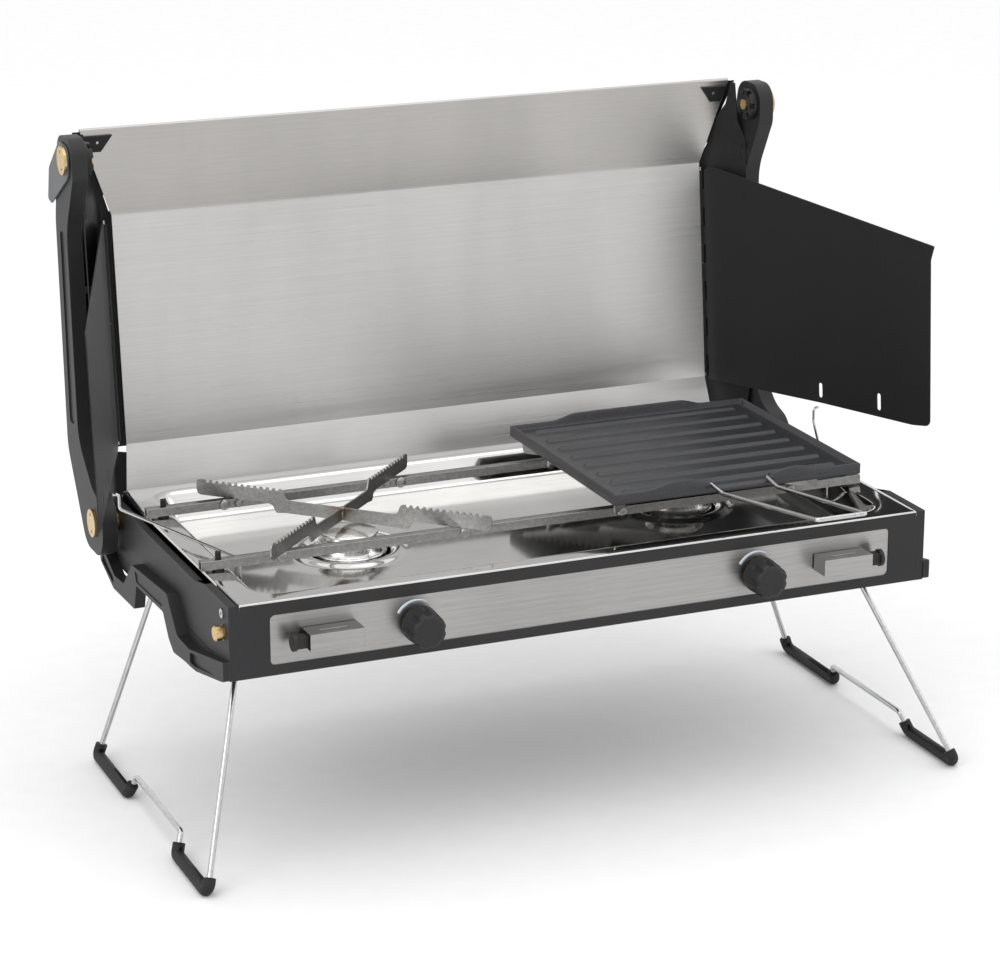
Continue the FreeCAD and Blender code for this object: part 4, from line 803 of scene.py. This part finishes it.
top_rows = [[griddle_point(x, y, griddle_height(x, y)) for x in grid_x] for y in grid_y]
for up in (1.0, 0.0):
    top_rows.insert(0, skirt(top_rows[0], up))
    top_rows.append(skirt(top_rows[-1], up))
full_rows = []
for row in top_rows:
    down_left = [Vector((row[0].x, row[0].y, griddle_low.z + up * MM)) for up in (0.0, 1.0)]
    down_right = [Vector((row[-1].x, row[-1].y, griddle_low.z + up * MM)) for up in (1.0, 0.0)]
    full_rows.append(down_left + row + down_right)
griddle = sheet_from_rows("ribbed_griddle", full_rows, griddle_coat, "griddle")
print("griddle faces", len(griddle.data.polygons))

# %% Close the griddle's underside and add the handle's eyes
mesh = bmesh.new()
mesh.from_mesh(griddle.data)
bmesh.ops.remove_doubles(mesh, verts=mesh.verts, dist=0.00002)
open_edges = [e for e in mesh.edges if e.is_boundary]
bmesh.ops.holes_fill(mesh, edges=open_edges, sides=0)
bmesh.ops.recalc_face_normals(mesh, faces=mesh.faces)
mesh.to_mesh(griddle.data)
mesh.free()
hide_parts("griddle_plate")


def drum(name, start, end, radius, finish, body, sides=40, hollow=0.0, rounding=0.25):
    """A short turned ring or disc between two points, in metres."""
    way = end - start
    turn = way.to_track_quat("Z", "Y")
    soft = rounding * MM
    outline = [(hollow, 0), (radius - soft, 0), (radius, soft), (radius, way.length - soft),
               (radius - soft, way.length), (hollow, way.length)]
    mesh = bmesh.new()
    rings = []
    for r, h in outline:
        ring = []
        for k in range(sides):
            angle = math.tau * k / sides
            ring.append(mesh.verts.new(start + turn @ Vector((r * math.cos(angle), r * math.sin(angle), h))))
        rings.append(ring)
    closing = zip(rings, rings[1:] + rings[:1]) if hollow > 0 else zip(rings, rings[1:])
    for first, second in closing:
        for k in range(sides):
            mesh.faces.new((first[k], first[(k + 1) % sides], second[(k + 1) % sides], second[k]))
    if hollow <= 0:
        bmesh.ops.remove_doubles(mesh, verts=mesh.verts, dist=1e-6)
    bmesh.ops.recalc_face_normals(mesh, faces=mesh.faces)
    piece = piece_from(mesh, name, finish, body)
    soften_edges(piece, rounding * 0.5)
    return piece


WIRE_HALF = 0.0019
EYE_RADIUS, EYE_BORE, EYE_HALF_LENGTH, EYE_UP = 0.0036, 0.00205, 0.0022, 0.007
eye_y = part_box("griddle_handle")[1].y - WIRE_HALF
eye_z = griddle_low.z + EYE_UP
for name, x in (("left", griddle_middle.x - 0.0305), ("right", griddle_middle.x + 0.033)):
    eye_start = Vector((x - EYE_HALF_LENGTH, eye_y, eye_z))
    eye_end = Vector((x + EYE_HALF_LENGTH, eye_y, eye_z))
    eye = drum(f"griddle_eye_{name}", eye_start, eye_end, EYE_RADIUS, griddle_coat, "griddle",
               hollow=EYE_BORE, rounding=0.5)
print("griddle closed, eyes at", round(eye_y, 4), round(eye_z, 4))

# %% [markdown]
# ## Turned pieces
#
# Burners, caps and knobs are round. A turned piece is an outline spun about an axis. Spinning it here, ring
# by ring, rather than with a Screw modifier, lets some faces be left out, which is how the burner gets its
# flame ports.


# %% Spin an outline into a piece
def turned(name, centre, outline, finish, body, sides=96, keep=None, shape=None):
    """outline: (radius, height) in millimetres. shape(angle, radius, height) may change a radius."""
    mesh = bmesh.new()
    rings = []
    for r, h in outline:
        ring = []
        for k in range(sides):
            angle = math.tau * k / sides
            reach = shape(angle, r, h) if shape else r
            point = Vector((reach * math.cos(angle), reach * math.sin(angle), h))
            ring.append(mesh.verts.new(centre + point * MM))
        rings.append(ring)
    for level, (first, second) in enumerate(zip(rings, rings[1:])):
        for k in range(sides):
            if keep is None or keep(level, k):
                mesh.faces.new((first[k], first[(k + 1) % sides], second[(k + 1) % sides], second[k]))
    bmesh.ops.remove_doubles(mesh, verts=mesh.verts, dist=1e-6)
    bmesh.ops.recalc_face_normals(mesh, faces=mesh.faces)
    return piece_from(mesh, name, finish, body)


print("turning helper ready")

# %% [markdown]
# ## The burners
#
# Each burner is a pressed cup with a shiny foot ring, a cone pierced with rows of flame ports, and a domed
# cap. The ports are real openings: in the pierced rows every second face is left out, and the sheet is then
# thickened.

# %% Build the burners
cup_outline = [(18, 30), (30, 38.6), (33, 39.4), (33.4, 40.4), (32.4, 41.3), (30.5, 41.2), (29.4, 42.2),
               (28.6, 44.0), (27.9, 45.6), (27.6, 46.3), (26.9, 47.9), (26.5, 48.9), (25.9, 50.5),
               (25.5, 51.4), (24.8, 53.0), (24.4, 54.0), (23.6, 56.4)]
port_levels = (8, 10, 12, 14)
throat_outline = [(17.5, 14), (17.8, 30), (19.5, 34), (20, 40), (14, 41), (12.6, 40.5), (12.4, 16)]
cap_outline = [(0, 62.9), (6, 62.6), (13, 61.7), (19, 60.3), (24, 58.8), (25.8, 58.0), (26.4, 57.2),
               (25.9, 56.6), (23.0, 56.3), (0, 56.3)]


def pierced(level, k):
    """Whether a face stays: every second one is a port, and the rows are staggered."""
    offset = (level // 2) % 2
    return level not in port_levels or (k + offset) % 2 == 0


for side, (cx, cy) in zip(("left", "right"), burner_spots):
    middle = spot(cx, cy, 0)
    cup = turned(f"burner_cone_{side}", middle, cup_outline, burner_alloy, "case", 96, pierced)
    thicken(cup, 0.7, -1.0)
    soften_edges(cup, 0.1, 1)
    throat = turned(f"burner_throat_{side}", middle, throat_outline, burner_alloy, "case", 48)
    cap = turned(f"burner_dome_{side}", middle, cap_outline, burner_alloy, "case", 72)
    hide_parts(f"burner_{side}")
    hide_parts(f"burner_cap_{side}")
print("burners at", [tuple(round(v, 1) for v in s) for s in burner_spots])

# %% [markdown]
# ## The knobs
#
# A knob is moulded with a round skirt by the panel and a grip that is scooped eight times from the front. A
# turned outline gives the body, and the scoops pull its radius in where they are, more strongly towards the
# face.

# %% Build the knobs
KNOB_SIDES = 160
knob_outline = [(0, 0.2), (14.5, 0.2), (15.6, 0.8), (16.0, 2.0), (16.0, 5.0), (15.9, 7.0), (15.8, 9.0),
                (15.7, 11.0), (15.6, 13.0), (15.5, 15.0), (15.4, 17.0), (15.3, 19.0), (15.2, 21.0),
                (14.9, 22.8), (14.2, 24.2), (13.0, 25.2), (11.4, 25.9), (9.8, 26.2), (8.0, 26.1),
                (4.0, 26.1), (0, 26.1)]


def scooped(angle, radius, height):
    if radius < 10.5 or height < 4:
        return radius
    share = max(0.0, (math.cos(4 * angle) ** 2 - 0.50) / 0.50)
    fade = 1 - 0.6 * soft_ramp((height - 20) / 4, 0.2)
    deep = 2.4 * soft_ramp((height - 6.5) / 4, 0.2) * share ** 0.7
    return radius - deep * fade


for side in ("left", "right"):
    low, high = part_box(f"knob_{side}")
    middle = (low + high) / 2
    knob = turned(f"fluted_knob_{side}", Vector(), knob_outline, black_plastic, f"control_{side}", KNOB_SIDES,
                  shape=scooped)
    to_panel = Matrix.Translation(Vector((middle.x, high.y, middle.z)))
    knob.data.transform(to_panel @ Matrix.Rotation(math.radians(90), 4, "X"))
    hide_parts(f"knob_{side}")
print("knob length", max(h for r, h in knob_outline), "mm")

# %% [markdown]
# ## Flow marks
#
# The printed arc is a very thin piece just in front of the fascia. It starts wide on the left of each knob
# and narrows to a point on the right, as printed dials do.

# %% Print the flow marks
fascia_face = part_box("fascia_plate")[0].y
ARC_RADIUS, ARC_WIDE, ARC_THIN, ARC_STEPS = 18.2, 2.6, 0.15, 40
for side in ("left", "right"):
    low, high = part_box(f"knob_{side}")
    middle = (low + high) / 2
    rows = [[], []]
    for k in range(ARC_STEPS + 1):
        angle = math.radians(150 - 92 * k / ARC_STEPS)
        width = ARC_WIDE * (1 - (k / ARC_STEPS) ** 2.5) + ARC_THIN
        for row, r in zip(rows, (ARC_RADIUS, ARC_RADIUS + width)):
            row.append(Vector((middle.x + r * math.cos(angle) * MM, fascia_face - 0.00006,
                               middle.z + r * math.sin(angle) * MM)))
    arc = sheet_from_rows(f"flow_mark_{side}", rows, mark_ink, "case")
    thicken(arc, 0.05, 0.0)
print("flow marks printed")

# %% [markdown]
# ## The pot supports
#
# Each cross is two strips of steel, slotted together and welded. Outside the burner the strips stand higher
# and carry round-bottomed teeth that grip a pot. The outline is drawn once, with every tooth as a small half
# circle, and turned into two strips by extruding it.

# %% Draw the toothed strip
cross_base = (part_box("pot_cross_left")[0].z - case_floor) / MM
TOOTH_TOP, MIDDLE_TOP = cross_base + 22.0, cross_base + 12.5
MIDDLE_LOW, FOOT_LOW = cross_base + 1.0, cross_base + 8.0
ARM_REACH, FIRST_TOOTH, TOOTH_STEP, TOOTH_RADIUS = 139.8, 62.0, 6.1, 2.1
STRIP_THICKNESS = 1.6


def half_strip():
    """Outline of one arm from the middle out: top edge, tip and underside."""
    line = [(0, MIDDLE_TOP), (50, MIDDLE_TOP), (52.2, MIDDLE_TOP + 0.8), (53.4, MIDDLE_TOP + 3),
            (54.8, TOOTH_TOP - 2.4), (56.4, TOOTH_TOP - 0.6), (58.6, TOOTH_TOP)]
    at = FIRST_TOOTH
    while at + TOOTH_STEP < ARM_REACH - 3:
        for k in range(7):
            angle = math.pi - math.pi * k / 6
            line.append((at + TOOTH_RADIUS * math.cos(angle),
                         TOOTH_TOP - TOOTH_RADIUS * 1.15 * math.sin(angle)))
        at += TOOTH_STEP
    line += [(ARM_REACH - 3.5, TOOTH_TOP), (ARM_REACH - 1, TOOTH_TOP - 0.8), (ARM_REACH, TOOTH_TOP - 3),
             (ARM_REACH, FOOT_LOW + 4), (ARM_REACH - 1.2, FOOT_LOW + 1.2), (ARM_REACH - 4, FOOT_LOW + 0.02),
             (70, FOOT_LOW + 0.02), (66, FOOT_LOW - 1.4), (63, MIDDLE_LOW), (61.5, MIDDLE_LOW - 0.9),
             (58, MIDDLE_LOW - 0.6), (53, MIDDLE_LOW), (0, MIDDLE_LOW)]
    return line


arm = half_strip()
strip_outline = arm + [(-x, z) for x, z in arm[::-1][1:-1]]
print("points in a strip's outline", len(strip_outline))


# %% Build the crosses
def flat_strip(name, middle, turn, outline, thickness, finish, body):
    """Extrude an outline that stands upright, turned about the vertical."""
    way = Vector((math.cos(turn), math.sin(turn), 0))
    across = Vector((-way.y, way.x, 0))
    mesh = bmesh.new()
    faces = []
    for offset in (-thickness / 2, thickness / 2):
        ring = [mesh.verts.new(Vector((middle.x, middle.y, case_floor)) + way * x * MM + across * offset * MM
                               + Vector((0, 0, z * MM))) for x, z in outline]
        faces.append(ring)
    mesh.faces.new(faces[0])
    mesh.faces.new(faces[1][::-1])
    count = len(outline)
    for k in range(count):
        mesh.faces.new((faces[0][k], faces[1][k], faces[1][(k + 1) % count], faces[0][(k + 1) % count]))
    bmesh.ops.recalc_face_normals(mesh, faces=mesh.faces)
    bmesh.ops.triangulate(mesh, faces=[f for f in mesh.faces if len(f.verts) > 4])
    return piece_from(mesh, name, finish, body)


for side, middle in zip(("left", "right"), cross_middles):
    strips = []
    for letter, turn in (("a", 45), ("b", -45)):
        strips.append(flat_strip(f"cross_strip_{letter}_{side}", middle, math.radians(turn), strip_outline,
                                 STRIP_THICKNESS, support_steel, "pan_support"))
    for strip in strips:
        strip.data.shade_flat()
        soften_edges(strip, 0.22, 2, 40)
    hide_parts(f"pot_cross_{side}")
print("crosses built")

# %% [markdown]
# ## Rivet heads
#
# Each cross is riveted to the rails where its strips pass over them. A hammered head is a low dome with a
# small shoulder, so it is turned, then laid on its side against the front face of the rail.

# %% Set the rivet heads
HEAD_SIDES = 32
HEAD_STANDS, HEAD_RADIUS_CAD = 2.9, 3.9
rivet_low, rivet_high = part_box("rail_rivets")
rail_faces = (rivet_low.y, rivet_high.y - HEAD_STANDS * MM)
head_height = (rivet_low.z + rivet_high.z) / 2
spread = (rivet_high.x - HEAD_RADIUS_CAD * MM) - cross_middles[1].x
head_outline = [(0, 0), (4.9, 0), (4.9, 0.7), (4.5, 1.5), (3.4, 2.3), (1.8, 2.7), (0, 2.8)]
for side, middle in zip(("left", "right"), cross_middles):
    mesh = bmesh.new()
    for face in rail_faces:
        for x in (middle.x - spread, middle.x + spread):
            rings = []
            for r, h in head_outline:
                ring = []
                for k in range(HEAD_SIDES):
                    angle = math.tau * k / HEAD_SIDES
                    ring.append(mesh.verts.new((x + r * math.cos(angle) * MM, face + (HEAD_STANDS - h) * MM,
                                                head_height + r * math.sin(angle) * MM)))
                rings.append(ring)
            for first, second in zip(rings, rings[1:]):
                for k in range(HEAD_SIDES):
                    after = (k + 1) % HEAD_SIDES
                    mesh.faces.new((first[k], first[after], second[after], second[k]))
    bmesh.ops.remove_doubles(mesh, verts=mesh.verts, dist=1e-6)
    bmesh.ops.recalc_face_normals(mesh, faces=mesh.faces)
    heads = piece_from(mesh, f"rivet_heads_{side}", support_steel, "pan_support")
print("rivet heads at", round(spread / MM, 1), "mm beside each weld")

# %% [markdown]
# ## Weld beads
#
# Where the strips cross, four short welds hold them. A bead is a row of overlapping drops, so each is built
# from small round lumps with uneven sizes, set down at fixed steps so that the result is the same every
# time.

# %% Lay the weld beads
for side, middle in zip(("left", "right"), cross_middles):
    mesh = bmesh.new()
    for quarter in range(4):
        turn = math.tau * quarter / 4
        out = Vector((math.cos(turn), math.sin(turn), 0))
        for k in range(5):
            size = 1.5 + 0.35 * math.sin(k * 2.1 + quarter)
            height = MIDDLE_TOP - 1.0 - k * 2.1
            place = Vector((middle.x, middle.y, case_floor)) + out * 1.3 * MM + Vector((0, 0, height * MM))
            bmesh.ops.create_icosphere(mesh, subdivisions=2, radius=size * MM,
                                       matrix=Matrix.Translation(place))
    bead = piece_from(mesh, f"weld_bead_{side}", support_steel, "pan_support")
print("beads laid")

# %% [markdown]
# ## Floor, light and camera
#
# A product is photographed on a white sweep, with one broad soft light above and a weaker one from each
# side. The sky is a slow gradient, brighter overhead, so that bent steel shows a different tone on each of
# its faces.

# %% Lay the floor
floor_mesh = bmesh.new()
bmesh.ops.create_grid(floor_mesh, x_segments=2, y_segments=2, size=15)
floor_data = bpy.data.meshes.new("floor")
floor_mesh.to_mesh(floor_data)
floor_mesh.free()
floor = bpy.data.objects.new("floor", floor_data)
floor.location = (0, 0, cad_low.z - 0.0002)
bpy.context.scene.collection.objects.link(floor)
floor_finish, nodes, links, shader = new_finish("pale_floor")
paper = grain_noise(nodes, links, (40, 40, 40), 3.0)
links.new(shades(nodes, links, paper, (0.82, 0.82, 0.82), (0.84, 0.84, 0.84)), shader.inputs["Base Color"])
shader.inputs["Roughness"].default_value = 0.85
floor_data.materials.append(floor_finish)
print("floor at", round(floor.location.z, 4))

# %% Light the stove
world = bpy.data.worlds.new("studio")
bpy.context.scene.world = world
world.use_nodes = True
sky_nodes, sky_links = world.node_tree.nodes, world.node_tree.links
sky = sky_nodes["Background"]
direction = sky_nodes.new("ShaderNodeTexCoord")
height = sky_nodes.new("ShaderNodeSeparateXYZ")
sky_links.new(direction.outputs["Generated"], height.inputs["Vector"])
sky_ramp = sky_nodes.new("ShaderNodeValToRGB")
sky_ramp.color_ramp.elements[0].position = 0.0
sky_ramp.color_ramp.elements[0].color = (0.74, 0.74, 0.74, 1)
sky_ramp.color_ramp.elements[1].position = 0.75
sky_ramp.color_ramp.elements[1].color = (1, 1, 1, 1)
sky_links.new(height.outputs["Z"], sky_ramp.inputs["Fac"])
sky_links.new(sky_ramp.outputs["Color"], sky.inputs["Color"])
sky.inputs["Strength"].default_value = 1.22


def softbox(name, place, aim, width, height, power):
    data = bpy.data.lights.new(name, "AREA")
    data.shape = "RECTANGLE"
    data.size = width
    data.size_y = height
    data.energy = power
    lamp = bpy.data.objects.new(name, data)
    lamp.location = place
    lamp.rotation_euler = (Vector(aim) - Vector(place)).to_track_quat("-Z", "Y").to_euler()
    bpy.context.scene.collection.objects.link(lamp)


softbox("overhead", (0.1, -0.2, 2.4), (0, 0, 0.2), 2.4, 1.8, 10)
softbox("left_key", (-2.2, -1.2, 1.5), (0, 0, 0.25), 1.4, 1.4, 16)
softbox("right_fill", (2.4, -1.0, 1.2), (0, 0, 0.25), 1.2, 1.6, 7)

# %% [markdown]
# ## The camera
#
# The stove is seen from its front left, a little from above, with a long lens from far away, so that its
# edges stay nearly parallel.

# %% Place the camera
camera_data = bpy.data.cameras.new("camera")
camera = bpy.data.objects.new("camera", camera_data)
bpy.context.scene.collection.objects.link(camera)
camera_data.lens = 114.09
camera_data.sensor_width = 36
camera.location = spot(-1053.88, -2279.75, 924.885)
camera.rotation_euler = (math.radians(90 - 17.545), 0, math.radians(-23.049))
camera_data.clip_end = 60
bpy.context.scene.camera = camera
bpy.context.scene.view_settings.view_transform = "Standard"
print("camera distance", round(camera.location.length, 3))

# %% [markdown]
# ## The CAD frame's box
#
# The box that the CAD frame takes, measured when it was loaded, is printed.

# %% Print the CAD frame's box
print("CAD box", [round(v, 4) for v in (*cad_low, *cad_high)])
